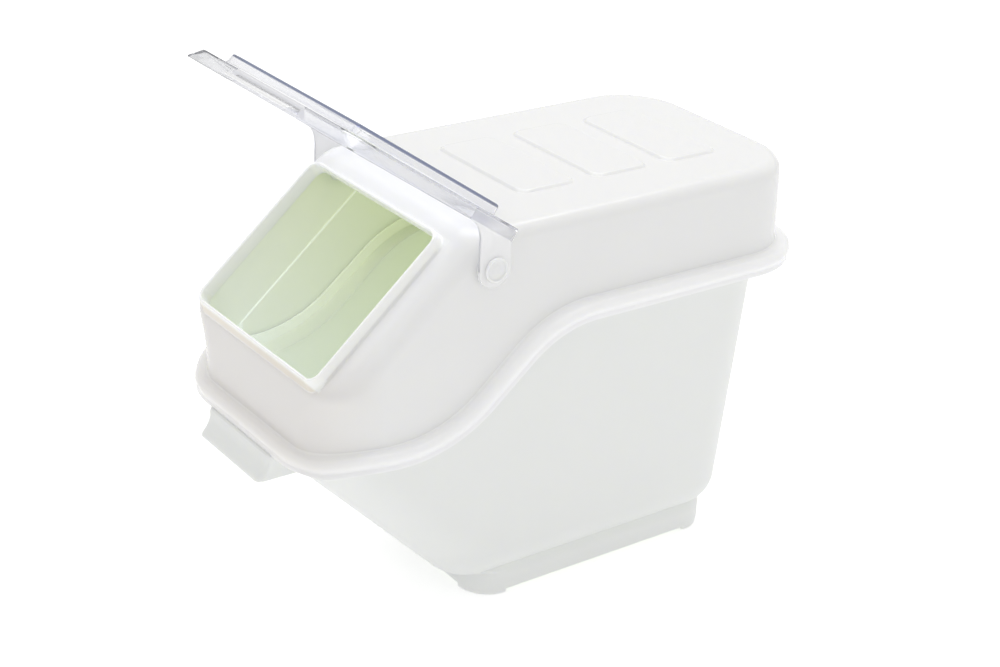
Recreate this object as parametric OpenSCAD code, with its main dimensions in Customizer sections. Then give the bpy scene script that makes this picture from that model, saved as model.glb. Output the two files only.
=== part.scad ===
// Rice bin with a flip lid: a tub on a low plinth, a hood pressed on over the
// tub's flange, and a clear lid hinged on two pins at the hood's shoulders.
// Millimetres. X is across, the front faces -Y, Z is up, the floor is z = 0.
// The lid is drawn open, resting on its stop.

/* [Overall] */
// Length, from the lip of the front pull to the back of the rim
overall_l = 600; // [500:5:720]
// Width over the rim
overall_w = 305; // [255:5:365]
// Height of the hood's top above the floor
body_h = 425; // [400:5:510]

/* [Rim and seam] */
// How far the rolled rim stands out from the hood's wall
rim_out = 14; // [10:0.5:20]
// Height of the rolled rim
rim_h = 17.5; // [14:0.5:22]
// Radius of the rim's front corners, seen from above
rim_front_r = 86; // [70:1:95]
// Wall of the rolled rim
rim_wall = 2.5; // [1.5:0.1:3.5]
// Drop from the hood's top to the top of the rim, along the back
back_drop = 88; // [60:1:110]
// Drop from the hood's top to the top of the rim, low beside the front
side_drop = 186; // [155:1:200]
// Further drop of the rim across the very front
front_dip = 11; // [4:0.5:18]
// Radius of the curve that carries the rim down to the front
dip_r = 125; // [90:1:160]
// Distance from the hood's front wall to the foot of the rise
rise_start = 75; // [65:1:100]
// Steepest angle of the rise, in degrees
rise_angle = 40.5; // [35:0.5:50]
// Radius of the two bends of the rise
rise_r = 128; // [80:1:140]

/* [Hood] */
// Wall of the hood
hood_wall = 3; // [2:0.1:5]
// Draft of the hood's side and back walls, in degrees
hood_draft = 1.5; // [0.5:0.1:3]
// Draft of the hood's front wall, in degrees
front_draft = 3; // [1:0.1:5]
// Radius of the hood's back corners, seen from above
hood_back_r = 70; // [40:1:85]
// Radius of the hood's front corners at its lower edge, seen from above
hood_low_front_r = 76; // [60:1:84]
// Radius of the hood's front corners at the foot of the sloping panel
hood_front_r = 44; // [35:1:55]
// Rounding of the top edge
top_edge_r = 14; // [6:0.5:20]
// Rounding of the sloping panel's shoulders
shoulder_r = 22; // [14:0.5:30]
// Angle of the sloping panel above level, in degrees
slope_angle = 41.7; // [35:0.1:48]

/* [Mouth] */
// Length of the collar round the mouth, up the slope
collar_l = 177; // [150:1:180]
// Space from each side of the collar to the hood's side
collar_side = 25.5; // [22:0.5:40]
// Drop from the hood's top to the lower edge of the collar
collar_drop = 119.5; // [110:0.5:125]
// How far the collar's lower edge stands in front of the hood's wall
collar_lead = 3; // [0:0.5:8]
// Height of the collar above the sloping panel
collar_h = 12; // [8:0.5:16]
// Wall of the collar
collar_wall = 3.3; // [2:0.1:5]
// Radius of the collar's corners
collar_r = 13; // [8:0.5:25]

/* [Top pads] */
// Number of shallow raised pads on the hood's top
pad_count = 3; // [1:1:4]
// Width of each pad
pad_w = 144; // [80:1:170]
// Space between two pads
pad_gap = 19.5; // [10:0.5:45]
// Space from the hinge line to the first pad
pad_front_space = 76.7; // [70:0.1:110]
// Space from the last pad to the hood's back wall
pad_back_space = 64.7; // [40:0.1:90]
// Height of each pad
pad_h = 1.6; // [0.6:0.1:3]
// Radius of a pad's corners
pad_r = 13; // [4:0.5:20]

/* [Tub] */
// Wall of the tub
tub_wall = 3; // [2:0.1:5]
// Thickness of the tub's floor
tub_floor = 3.5; // [2:0.1:6]
// Space from the hood's wall in to the tub's wall, at the back rim
tub_inset = 19; // [15:0.5:30]
// Draft of the tub's walls, in degrees
tub_draft = 2.7; // [1:0.1:4]
// Radius of the tub's upright corners
tub_corner_r = 50; // [45:1:70]
// Rounding of the tub's lower edge
tub_edge_r = 38; // [20:1:42]
// Slope of the front wall from level, in degrees
front_wall_angle = 44.8; // [40:0.1:52]
// Thickness of the flange that carries the hood
flange_t = 3; // [2:0.1:4]
// Height of the locating lip above the flange
lip_h = 11; // [6:0.5:14]
// Thickness of the locating lip
lip_t = 2.5; // [1.5:0.1:4]

/* [Plinth] */
// Height above the ground at which the tub's rounded lower edge ends
edge_z = 26; // [18:0.5:40]
// Space from the tub's wall in to the plinth under it
plinth_inset = 12; // [8:0.5:18]
// Radius of the plinth's corners
plinth_r = 35; // [22:1:40]
// Height of the four corner feet below the plinth
foot_h = 4; // [2:0.1:8]
// Length of each corner foot along both sides
foot_l = 37; // [28:1:50]

/* [Front pull] */
// How far the lip of the pull stands in front of the rim
pull_reach = 13; // [6:0.5:18]
// Width of the pull
pull_w = 112; // [80:1:160]
// Height of the pull below the rim
pull_h = 24.5; // [18:0.5:30]
// How far the pull's neck stands in front of the rim
pull_neck = 3.8; // [2:0.1:6]
// Height of the pull's neck
pull_neck_h = 7.5; // [4:0.5:12]
// Gap between the rim and the top of the pull
pull_rim_gap = 0.6; // [0.4:0.1:1.5]
// Wall of the pull
pull_wall = 3; // [2:0.1:4]
// Height of the pull's straight lip
pull_lip_h = 4; // [2:0.5:6]

/* [Lid] */
// Wall of the lid
lid_wall = 1.8; // [1.2:0.1:2.5]
// Height of the lid's raised panel
panel_h = 9.5; // [7:0.5:10]
// Radius of the raised panel's corners
panel_r = 6; // [4:0.5:20]
// How far the lid reaches past the collar's lower edge
lid_front_reach = 23; // [14:0.5:28]
// Depth of the lid's skirt below the top of the panel
skirt_depth = 22.5; // [18:0.5:26]
// Radius of the skirt's front corners
skirt_r = 10; // [6:0.5:30]
// Width of the pull tab
tab_w = 108; // [60:1:130]
// How far the pull tab stands out from the skirt
tab_reach = 14; // [8:0.5:20]
// Thickness of the pull tab
tab_t = 2.4; // [1.8:0.1:3]
// Opening angle of the lid, in degrees
lid_travel = 76; // [60:1:80]

/* [Hinge] */
// Distance from the collar's upper edge back to the hinge line, along the slope
hinge_back = 8.5; // [4:0.5:14]
// Depth of the hinge line below the plane of the collar's edge
hinge_drop = 48.5; // [42:0.5:54]
// Radius of the round end of each ear
ear_r = 18; // [14:0.5:22]
// Thickness of each ear
ear_t = 2.8; // [2:0.1:4]
// Radius where an ear runs into the skirt
ear_blend_r = 26; // [12:1:40]
// Radius of the hood's boss under each ear
boss_r = 14; // [10:0.5:17]
// Radius of the hinge pins
pin_r = 5; // [3:0.25:7]
// Radius of the pins' heads
head_r = 12; // [8:0.5:14]
// Thickness of the pins' heads
head_t = 2.6; // [1.5:0.1:4]
// Length of the pins' swollen ends inside the hood
pin_end_l = 4; // [2:0.5:6]

/* [Fits] */
// Gap between the hood and the tub's flange and lip
hood_gap = 0.5; // [0.3:0.05:1]
// Gap between the lid's panel and the collar's side
lid_fit = 0.9; // [0.5:0.1:2]
// Gap between the closed lid and the collar's edge
lid_seat = 0.4; // [0.3:0.05:1]
// Gap between the open lid and the hood's top
stop_gap = 0.3; // [0.2:0.05:1]
// Gap between the lid's skirt and the hood's side
skirt_gap = 1.4; // [0.8:0.1:3]
// Gap between an ear and the faces on each side of it
ear_gap = 0.4; // [0.2:0.05:1]
// Radial gap between a pin and an ear
ear_running = 0.08; // [0.02:0.01:0.1]
// Radial gap between a pin and the hood
hood_running = 0.03; // [0.01:0.01:0.1]

/* [Hidden] */
$fn = 64;
HULL_FN = 32;
SLICE = 0.02;
OVER = 1;
FAR = 900;
BORE_RUN = 9;
FILLET_STEP = 22.5;
BEND_STEP = 6;
WHITE = [0.95, 0.96, 0.955];
CLEAR = [0.74, 0.79, 0.86];

// Rim outline and the heights of the seam
rim_hw = overall_w / 2;
rim_y0 = -overall_l / 2 + pull_reach;
rim_y1 = overall_l / 2;
seam_back_z = body_h - back_drop;
seam_side_z = body_h - side_drop;
rim_back_r = hood_back_r + rim_out;

// Hood walls at a height, with their drafts
wall_y0 = rim_y0 + rim_out;
wall_y1 = rim_y1 - rim_out;
function hood_hw(z) = rim_hw - rim_out - (z - seam_side_z) * tan(hood_draft);
function hood_y0(z) = wall_y0 + (z - seam_side_z) * tan(front_draft);
function hood_y1(z) = wall_y1 - (z - seam_back_z) * tan(hood_draft);
hood_low_z = seam_side_z - front_dip - rim_h - OVER;

// Sloping panel: its origin is the middle of the collar's lower edge
slope_y = wall_y0 - collar_lead;
slope_z = body_h - collar_drop;
collar_hw = hood_hw(body_h) - collar_side;
function on_slope(along, out) = [
    slope_y + along * cos(slope_angle) - out * sin(slope_angle),
    slope_z + along * sin(slope_angle) + out * cos(slope_angle)
];
shoulder_depth = -(collar_h + shoulder_r);
shoulder_top = (body_h - shoulder_r - on_slope(0, shoulder_depth)[1]) / sin(slope_angle);
corner_step = (hood_front_r - shoulder_r) * (1 - cos(45));
shoulder_low_y = hood_y0(slope_z) + shoulder_r + corner_step;
shoulder_low = (shoulder_low_y - on_slope(0, shoulder_depth)[0]) / cos(slope_angle);
front_top_z = on_slope(0, -collar_h)[1]
    + (hood_y0(slope_z) - on_slope(0, -collar_h)[0]) * tan(slope_angle);
neck_depth = 36;

// Hinge line, in the hood and measured from the collar's upper edge
hinge = on_slope(collar_l + hinge_back, -hinge_drop);
boss_face = hood_hw(hinge[1]) + 3 + skirt_gap;
ear_in = boss_face + ear_gap;
ear_out = ear_in + ear_t;
pin_inside = hood_hw(hinge[1]) - hood_wall - 2 * ear_gap;

// Lid sizes, in the closed lid's own frame: y runs up the slope from the
// collar's upper edge, z is 0 at the plane of the collar's edge
lid_top = lid_seat + lid_wall;
panel_hw = collar_hw + lid_fit + lid_wall;
panel_y0 = -(collar_l + lid_fit + lid_wall);
flange_z = lid_top - panel_h;
skirt_z = lid_top - skirt_depth;
lid_y0 = -(collar_l + lid_front_reach);
lid_hw = ear_out;
open_tilt = lid_travel - slope_angle;
stop_height = body_h + stop_gap - hinge[1];
flange_rise = flange_z - lid_wall + hinge_drop;
lid_y1 = hinge_back + (flange_rise * cos(open_tilt) - stop_height) / sin(open_tilt);
panel_y1 = lid_y1 - 3;

// Tub walls at a height, with their drafts
tub_hw_top = hood_hw(seam_back_z) - tub_inset;
tub_y1_top = wall_y1 - tub_inset;
function tub_hw(z) = tub_hw_top - (seam_back_z - z) * tan(tub_draft);
function tub_y1(z) = tub_y1_top - (seam_back_z - z) * tan(tub_draft);
front_wall_z = seam_side_z - front_dip - rim_h - flange_t;
function tub_y0(z) = wall_y0 + (front_wall_z - z) / tan(front_wall_angle);
front_edge_back = tub_edge_r * (1 / sin(front_wall_angle) - 1);
plinth_hw = tub_hw(edge_z) - plinth_inset;
plinth_y0 = tub_y0(foot_h);
plinth_y1 = tub_y1(edge_z) - plinth_inset;

// Top edge of the rim, seen from the side, moved square to itself by drop:
// level across the front, up over the dip, level, then the rise to the back
rise_h = back_drop - side_drop;
rise_y = wall_y0 + rise_start;
straight_l = (-rise_h - 2 * rise_r * (1 - cos(rise_angle))) / sin(rise_angle);
rise_end_y = rise_y + 2 * rise_r * sin(rise_angle) + straight_l * cos(rise_angle);
dip_angle = acos(1 - front_dip / dip_r);
dip_y = wall_y0 + dip_r * sin(dip_angle);
function bend(y, z, r, a0, a1) = [
    for (i = [0 : ceil(abs(a1 - a0) / BEND_STEP)])
        let (a = a0 + (a1 - a0) * i / ceil(abs(a1 - a0) / BEND_STEP))
        [y + r * cos(a), z + r * sin(a)]
];
function seam(drop) = concat(
    [[-FAR, seam_side_z - dip_r + (dip_r - drop) * cos(dip_angle)]],
    bend(dip_y, seam_side_z - dip_r, dip_r - drop, 90 + dip_angle, 90),
    bend(rise_y, seam_side_z + rise_r, rise_r + drop, -90, -90 + rise_angle),
    bend(rise_end_y, seam_back_z - rise_r, rise_r - drop, 90 + rise_angle, 90),
    [[FAR, seam_back_z - drop]]
);

// Turns a side view, drawn as [y, z], into a slab across the whole width
module across(half) {
    rotate([90, 0, 90])
        translate([0, 0, -half])
            linear_extrude(2 * half) children();
}

// Everything above the seam line, and everything below it
module above_seam(drop) {
    across(FAR) polygon(concat(seam(drop), [[FAR, FAR], [-FAR, FAR]]));
}
module below_seam(drop) {
    across(FAR) polygon(concat(seam(drop), [[FAR, -FAR], [-FAR, -FAR]]));
}

// Outline with round corners, r0 at the front and r1 at the back
module rounded(hw, y0, y1, r0, r1) {
    polygon(concat(
        bend(hw - r1, y1 - r1, r1, 0, 90),
        bend(-hw + r1, y1 - r1, r1, 90, 180),
        bend(-hw + r0, y0 + r0, r0, 180, 270),
        bend(hw - r0, y0 + r0, r0, 270, 360)
    ));
}

// Upright block with the rim's outline, or one that lies inside it by inset
module rim_block(inset) {
    linear_extrude(body_h)
        rounded(rim_hw - inset, rim_y0 + inset, rim_y1 - inset,
                rim_front_r - inset, rim_back_r - inset);
}

// Four thin discs, one for each corner of an outline at one height
module corner_discs(hw, y0, y1, r0, r1, r_less, z) {
    for (side = [-1, 1]) {
        translate([side * (hw - r0), y0 + r0, z])
            cylinder(h = SLICE, r = r0 - r_less, $fn = HULL_FN);
        translate([side * (hw - r1), y1 - r1, z])
            cylinder(h = SLICE, r = r1 - r_less, $fn = HULL_FN);
    }
}

// Outer shape of the hood, or its hollow when inset by the wall
module hood_form(inset) {
    hull() {
        for (level = [[hood_low_z, hood_low_front_r],
                      [front_top_z - shoulder_r / 4, hood_front_r]])
            corner_discs(hood_hw(level[0]), hood_y0(level[0]), hood_y1(level[0]),
                         level[1], hood_back_r, inset, level[0]);
        for (a = [0 : FILLET_STEP : 90]) {
            z = body_h - top_edge_r + (top_edge_r - inset) * sin(a) - SLICE;
            less = top_edge_r - (top_edge_r - inset) * cos(a);
            corner_discs(hood_hw(z), on_slope(shoulder_top, shoulder_depth)[0],
                         hood_y1(z), shoulder_r, hood_back_r, less, z);
        }
        for (side = [-1, 1], along = [shoulder_low, shoulder_top]) {
            p = on_slope(along, shoulder_depth);
            corner_in = along == shoulder_low ? corner_step : 0;
            translate([side * (hood_hw(p[1]) - shoulder_r - corner_in), p[0], p[1]])
                sphere(shoulder_r - inset, $fn = HULL_FN);
        }
    }
}

// Moves what is drawn in the closed lid's frame to the hood
module on_collar() {
    top = on_slope(collar_l, 0);
    translate([0, top[0], top[1]]) rotate([slope_angle, 0, 0]) children();
}

// Collar and mouth, less is how far inside the collar's outer face
module mouth_prism(less, up) {
    on_collar()
        translate([0, 0, -neck_depth])
            linear_extrude(neck_depth + up)
                rounded(collar_hw - less, -collar_l + less, -less,
                        collar_r - less, collar_r - less);
}

// A cylinder along X between two distances from the middle, on one side
module hinge_rod(side, x0, x1, r) {
    translate([side > 0 ? x0 : -x1, hinge[0], hinge[1]])
        rotate([0, 90, 0]) cylinder(h = x1 - x0, r = r);
}

// Shallow flat pads raised on the top
module top_pads() {
    y0 = hinge[0] + pad_front_space;
    y1 = hood_y1(body_h) - pad_back_space;
    pad_l = (y1 - y0 - (pad_count - 1) * pad_gap) / pad_count;
    for (i = [0 : pad_count - 1])
        translate([0, y0 + i * (pad_l + pad_gap), body_h - hood_wall / 2])
            linear_extrude(hood_wall / 2 + pad_h)
                rounded(pad_w / 2, 0, pad_l, pad_r, pad_r);
}

// Rolled rim: a channel, open below, that goes over the tub's flange
module rolled_rim() {
    difference() {
        intersection() {
            rim_block(0);
            below_seam(0);
            above_seam(rim_h);
        }
        intersection() {
            rim_block(rim_wall);
            below_seam(rim_wall);
        }
    }
}

module hood() {
    color(WHITE)
    difference() {
        union() {
            intersection() {
                hood_form(0);
                above_seam(rim_h - flange_t - hood_gap);
            }
            mouth_prism(0, 0);
            for (side = [-1, 1])
                hinge_rod(side, hood_hw(hinge[1]) - hood_wall, boss_face, boss_r);
            top_pads();
            rolled_rim();
        }
        hood_form(hood_wall);
        mouth_prism(collar_wall, OVER);
        for (side = [-1, 1])
            hinge_rod(side, pin_inside - BORE_RUN, boss_face + OVER, pin_r + hood_running);
    }
}

// Outer shape of the tub, or its hollow when inset by the wall
module tub_form(inset) {
    hull() {
        corner_discs(tub_hw(seam_back_z), tub_y0(seam_back_z), tub_y1(seam_back_z),
                     tub_corner_r, tub_corner_r, inset, seam_back_z);
        for (a = [0 : FILLET_STEP : 90]) {
            mid = edge_z + tub_edge_r;
            z = mid - (tub_edge_r - inset) * sin(a);
            less = tub_edge_r - (tub_edge_r - inset) * cos(a);
            corner_discs(tub_hw(mid), tub_y0(mid) + front_edge_back, tub_y1(mid),
                         tub_corner_r, tub_corner_r, less, z);
        }
    }
}

// Low plinth under the tub, or its hollow when inset by the wall
module plinth(inset, bottom) {
    translate([0, 0, bottom])
        linear_extrude(edge_z + tub_edge_r / 2 - bottom)
            rounded(plinth_hw - inset, plinth_y0 + inset, plinth_y1 - inset,
                    plinth_r - inset, plinth_r - inset);
}

// Plinth whose corners reach down to the ground as four feet
module plinth_on_feet() {
    difference() {
        plinth(0, 0);
        translate([-plinth_hw + foot_l, -FAR, -OVER])
            cube([2 * (plinth_hw - foot_l), 2 * FAR, foot_h + OVER]);
        translate([-FAR, plinth_y0 + foot_l, -OVER])
            cube([2 * FAR, plinth_y1 - plinth_y0 - 2 * foot_l, foot_h + OVER]);
    }
}

// Front pull: a hanging lip with two cheeks, open below for the fingers
pull_top_z = seam(rim_h)[1][1];
pull_z = pull_top_z - pull_h;
pull_y0 = rim_y0 - pull_reach;
module pull_side(less, low) {
    across(pull_w / 2 - less)
        polygon([
            [wall_y0 + less, pull_top_z + flange_t / 2 - less],
            [rim_y0 + rim_wall + hood_gap + less, pull_top_z + flange_t / 2 - less],
            [rim_y0 + rim_wall + hood_gap + less, pull_top_z - pull_rim_gap - less],
            [rim_y0 - pull_neck + less, pull_top_z - pull_rim_gap - less],
            [rim_y0 - pull_neck + less, pull_top_z - pull_neck_h],
            [pull_y0 + less, pull_z + pull_lip_h],
            [pull_y0 + less, low],
            [tub_y0(pull_z) + 2 * pull_wall, low]
        ]);
}

// Flange that carries the hood's rim
module flange() {
    intersection() {
        rim_block(rim_wall + hood_gap);
        above_seam(rim_h);
    }
}

// Lip on the flange that keeps the hood in place
module locating_lip() {
    difference() {
        intersection() {
            hood_form(hood_wall + hood_gap);
            below_seam(rim_h - flange_t - lip_h);
            above_seam(rim_h - flange_t / 2);
        }
        hood_form(hood_wall + hood_gap + lip_t);
    }
}

module tub() {
    color(WHITE)
    difference() {
        union() {
            intersection() {
                union() {
                    tub_form(0);
                    flange();
                }
                below_seam(rim_h - flange_t);
            }
            locating_lip();
            plinth_on_feet();
            difference() {
                pull_side(0, pull_z);
                pull_side(pull_wall, pull_z - OVER);
            }
        }
        tub_form(tub_wall);
        plinth(tub_wall, foot_h + tub_floor);
    }
}

// Side view of an ear, drawn in the closed lid's frame: its round end, its back
// edge up to the flange, and the curve that runs its front edge into the skirt
module ear_side() {
    front = [hinge_back - ear_r * cos(open_tilt), -hinge_drop - ear_r * sin(open_tilt)];
    front_l = (skirt_z - front[1]) / cos(open_tilt);
    meet_y = front[0] - front_l * sin(open_tilt);
    blend_l = ear_blend_r * tan((90 - open_tilt) / 2);
    polygon(concat(
        bend(meet_y - blend_l, skirt_z - ear_blend_r, ear_blend_r, 90, open_tilt),
        bend(hinge_back, -hinge_drop, ear_r, 180 + open_tilt, 360 + open_tilt),
        [[lid_y1 - OVER / 2, skirt_z],
         [lid_y1 - OVER / 2, flange_z - lid_wall / 2],
         [meet_y - blend_l, flange_z - lid_wall / 2]]
    ));
}

// One level of the lid, drawn in the closed lid's frame
module lid_layer(z0, z1, hw, y0, y1, r) {
    translate([0, 0, z0])
        linear_extrude(z1 - z0) rounded(hw, y0, y1, r, r);
}

// Closed lid in its own frame
module closed_lid() {
    difference() {
        union() {
            // Raised panel
            lid_layer(flange_z - lid_wall, lid_top, panel_hw, panel_y0, panel_y1, panel_r);
            // Flange and skirt
            lid_layer(skirt_z, flange_z, lid_hw, lid_y0, lid_y1 + skirt_r, skirt_r);
            // Pull tab
            lid_layer(skirt_z + tab_t, skirt_z + 2 * tab_t, tab_w / 2,
                      lid_y0 - tab_reach, lid_y0 + lid_wall / 2, lid_wall);
        }
        // Hollow of the panel, and of the skirt, which is open at the back
        lid_layer(flange_z - 2 * lid_wall, lid_top - lid_wall, panel_hw - lid_wall,
                  panel_y0 + lid_wall, panel_y1 - lid_wall, panel_r - lid_wall);
        lid_layer(skirt_z - OVER, flange_z - lid_wall, lid_hw - lid_wall,
                  lid_y0 + lid_wall, lid_y1 + 3 * skirt_r, skirt_r - lid_wall);
        // Straight back edge, which lands on the hood's top when the lid is open
        translate([-FAR / 2, lid_y1, -FAR / 2]) cube(FAR);
    }
    // Ears
    for (side = [-1, 1])
        translate([side > 0 ? ear_in : -ear_out, 0, 0])
            rotate([90, 0, 90]) linear_extrude(ear_t) ear_side();
}

module flip_lid() {
    color(CLEAR)
    difference() {
        translate([0, hinge[0], hinge[1]])
            rotate([-lid_travel, 0, 0])
                translate([0, -hinge[0], -hinge[1]])
                    on_collar() closed_lid();
        for (side = [-1, 1])
            hinge_rod(side, ear_in - OVER, ear_out + OVER, pin_r + ear_running);
    }
}

// Pin with a round head outside the ear and a swollen end inside the hood
module hinge_pin(side) {
    color(WHITE) {
        hinge_rod(side, pin_inside - pin_end_l / 2, ear_out + ear_gap + OVER, pin_r);
        hinge_rod(side, ear_out + ear_gap, ear_out + ear_gap + head_t, head_r);
        hinge_rod(side, pin_inside - pin_end_l, pin_inside, pin_r + 1);
    }
}
module hinge_pin_left() {
    hinge_pin(-1);
}
module hinge_pin_right() {
    hinge_pin(1);
}

tub();
hood();
flip_lid();
hinge_pin_left();
hinge_pin_right();
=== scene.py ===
import math

import bmesh
import bpy
import numpy as np
from mathutils import Matrix, Vector


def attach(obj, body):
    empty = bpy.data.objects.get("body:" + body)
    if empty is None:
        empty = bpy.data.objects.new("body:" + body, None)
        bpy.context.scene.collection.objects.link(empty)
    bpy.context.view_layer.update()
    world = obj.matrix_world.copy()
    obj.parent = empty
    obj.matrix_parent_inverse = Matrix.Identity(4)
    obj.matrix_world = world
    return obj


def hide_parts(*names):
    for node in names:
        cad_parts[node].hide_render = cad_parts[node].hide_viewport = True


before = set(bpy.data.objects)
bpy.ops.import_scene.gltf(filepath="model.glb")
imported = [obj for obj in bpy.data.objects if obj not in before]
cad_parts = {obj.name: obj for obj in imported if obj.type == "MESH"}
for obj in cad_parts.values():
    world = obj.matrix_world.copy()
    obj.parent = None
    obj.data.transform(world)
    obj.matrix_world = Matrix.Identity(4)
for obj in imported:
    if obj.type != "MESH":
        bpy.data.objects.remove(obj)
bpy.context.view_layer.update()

# ---------------------------------------------------------------- Tub
# The lower half: one thin moulding of white polypropylene with a slanted front
# wall, on a shallow plinth. A flange round its top carries the hood, and a low lip
# inside the flange stands in the hood and keeps it in place.

# Sizes are in millimetres, which MM turns into metres
MM = 0.001
WIDTH = 305.0
RIM_FRONT = -287.0
RIM_BACK = 300.0
RIM_OUT = 14.0
RIM_H = 17.5
RIM_FRONT_R = 86.0
HOOD_DRAFT = math.tan(math.radians(1.5))
FRONT_DRAFT = math.tan(math.radians(3.0))
HOOD_FRONT_R = 66.0
HOOD_BACK_R = 70.0
WALL_FRONT = RIM_FRONT + RIM_OUT
WALL_BACK = RIM_BACK - RIM_OUT

# The seam, seen from the side: low across the front, then up in an S to the back
SEAM_SIDE_Z = 239.0
SEAM_BACK_Z = 337.0
DIP_R = 125.0
DIP_ANGLE = math.acos(1 - 11.0 / DIP_R)
DIP_STEPS = 12
RISE_Y = -198.0
RISE_R = 128.0
RISE_ANGLE = math.radians(40.5)
RISE_STEPS = 24

TUB_WALL = 3.0
TUB_INSET = 19.0
TUB_DRAFT = math.tan(math.radians(2.7))
TUB_CORNER_R = 50.0
TUB_EDGE_R = 38.0
TUB_EDGE_Z = 26.0
SLANT = math.radians(44.8)
SLANT_Z = 207.5
WALL_START = TUB_EDGE_Z + TUB_EDGE_R
PLINTH_HALF = 90.27
PLINTH_FRONT = -68.07
PLINTH_BACK = 240.33
PLINTH_R = 35.0
FOOT_H = 4.0
FLOOR_Z = 7.5

SIDE_STEPS = 64
CORNER_STEPS = 14
END_STEPS = 18
FIRST_Z = 300.0
PLACE_ROUNDS = 30


def arc(y, z, r, a0, a1, steps):
    """Points of an arc in the side view, angles in radians."""
    angles = np.linspace(a0, a1, steps + 1)
    return np.stack([y + r * np.cos(angles), z + r * np.sin(angles)], 1)


def at_seam(drop):
    """Level of the seam moved square to itself by drop, from each column's y."""
    right = math.pi / 2
    dip_y = WALL_FRONT + DIP_R * math.sin(DIP_ANGLE)
    climb = SEAM_BACK_Z - SEAM_SIDE_Z
    straight = (climb - 2 * RISE_R * (1 - math.cos(RISE_ANGLE))) / math.sin(RISE_ANGLE)
    end_y = RISE_Y + 2 * RISE_R * math.sin(RISE_ANGLE) + straight * math.cos(RISE_ANGLE)
    points = np.concatenate([
        arc(dip_y, SEAM_SIDE_Z - DIP_R, DIP_R - drop, right + DIP_ANGLE, right, DIP_STEPS),
        arc(RISE_Y, SEAM_SIDE_Z + RISE_R, RISE_R + drop, -right, RISE_ANGLE - right, RISE_STEPS),
        arc(end_y, SEAM_BACK_Z - RISE_R, RISE_R - drop, right + RISE_ANGLE, right, RISE_STEPS),
    ])
    return lambda y: np.interp(y, points[:, 0], points[:, 1])


def even(z):
    """A level that is the same all round."""
    return lambda y: np.full_like(y, z)


def part_way(first, last, share):
    """A level between two others, at a share of the way."""
    return lambda y: first(y) * (1 - share) + last(y) * share


def columns(sides, corners, ends):
    """Where each column of a ring stands, anticlockwise seen from above: its place
    across and its corner's turn across, the same along, and 1 where it is at the back."""
    quarter = math.pi / 2
    rows = []

    def bend(across, along, start):
        for a in np.linspace(start, start + quarter, corners + 1)[:-1]:
            rows.append((across, math.cos(a), along, math.sin(a), along))

    rows += [(1, 1, t, 0, 0) for t in np.linspace(0, 1, sides + 1)[:-1]]
    bend(1, 1, 0)
    rows += [(t, 0, 1, 1, 1) for t in np.linspace(1, -1, ends + 1)[:-1]]
    bend(-1, 1, quarter)
    rows += [(-1, -1, t, 0, 1) for t in np.linspace(1, 0, sides + 1)[:-1]]
    bend(-1, 0, 2 * quarter)
    rows += [(t, 0, 0, -1, 0) for t in np.linspace(-1, 1, ends + 1)[:-1]]
    bend(1, 0, 3 * quarter)
    return np.array(rows, float).T


RING = columns(SIDE_STEPS, CORNER_STEPS, END_STEPS)


def outline(half, y0, y1, front_r, back_r, ring=RING, front_ry=None, back_ry=None):
    """Rounded outline of a ring's columns. Radii may differ across and along."""
    across_part, round_x, along_part, round_y, at_back = ring
    front_ry = front_r if front_ry is None else front_ry
    back_ry = back_r if back_ry is None else back_ry
    rx = at_back * back_r + (1 - at_back) * front_r
    ry = at_back * back_ry + (1 - at_back) * front_ry
    x = across_part * (half - rx) + round_x * rx
    y = (y0 + front_ry) * (1 - along_part) + (y1 - back_ry) * along_part + round_y * ry
    return x, y


def hood_half(z):
    """Half the width of the hood's wall at a height."""
    return WIDTH / 2 - RIM_OUT - (z - SEAM_SIDE_Z) * HOOD_DRAFT


def hood_front(z):
    return WALL_FRONT + (z - SEAM_SIDE_Z) * FRONT_DRAFT


def hood_back(z):
    return WALL_BACK - (z - SEAM_BACK_Z) * HOOD_DRAFT


def hood_ring(z, out=0.0):
    """The hood's wall at a height, moved outwards or inwards."""
    return outline(hood_half(z) + out, hood_front(z) - out, hood_back(z) + out,
                   HOOD_FRONT_R + out, HOOD_BACK_R + out)


def rim_ring(z, share):
    """Between the hood's wall, at 0, and the outermost line of the rim, at 1."""
    wall_x, wall_y = hood_ring(z)
    rim_x, rim_y = outline(WIDTH / 2, RIM_FRONT, RIM_BACK, RIM_FRONT_R, HOOD_BACK_R + RIM_OUT)
    return wall_x + share * (rim_x - wall_x), wall_y + share * (rim_y - wall_y)


def tub_front(z):
    return WALL_FRONT + (SLANT_Z - z) / math.tan(SLANT)


def tub_ring(z, inset=0.0):
    """The tub's wall at a height, with the slanted front and the rounded lower edge."""
    set_back = TUB_EDGE_R * (1 / math.sin(SLANT) - 1)
    r = TUB_EDGE_R - inset
    below = np.clip(WALL_START - z, 0, r)
    shrink = r - np.sqrt(r * r - below * below)
    high = np.maximum(z, WALL_START)
    part = (SEAM_BACK_Z - high) / (SEAM_BACK_Z - WALL_START)
    drawn_in = (SEAM_BACK_Z - high) * TUB_DRAFT + inset + shrink
    half = hood_half(SEAM_BACK_Z) - TUB_INSET - drawn_in
    back = WALL_BACK - TUB_INSET - drawn_in
    centre = tub_front(high) + TUB_CORNER_R + set_back * part
    slanted = tub_front(z) + inset / math.sin(SLANT)
    rounded = tub_front(WALL_START) + set_back + TUB_EDGE_R - (r - shrink)
    touch = WALL_START - r * math.cos(SLANT)
    front = np.where(z > touch, slanted, np.maximum(rounded, slanted))
    corner = TUB_CORNER_R - inset - shrink
    return outline(half, front, back, corner, corner, front_ry=centre - front)


def inner_ring(z):
    return tub_ring(z, TUB_WALL)


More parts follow.
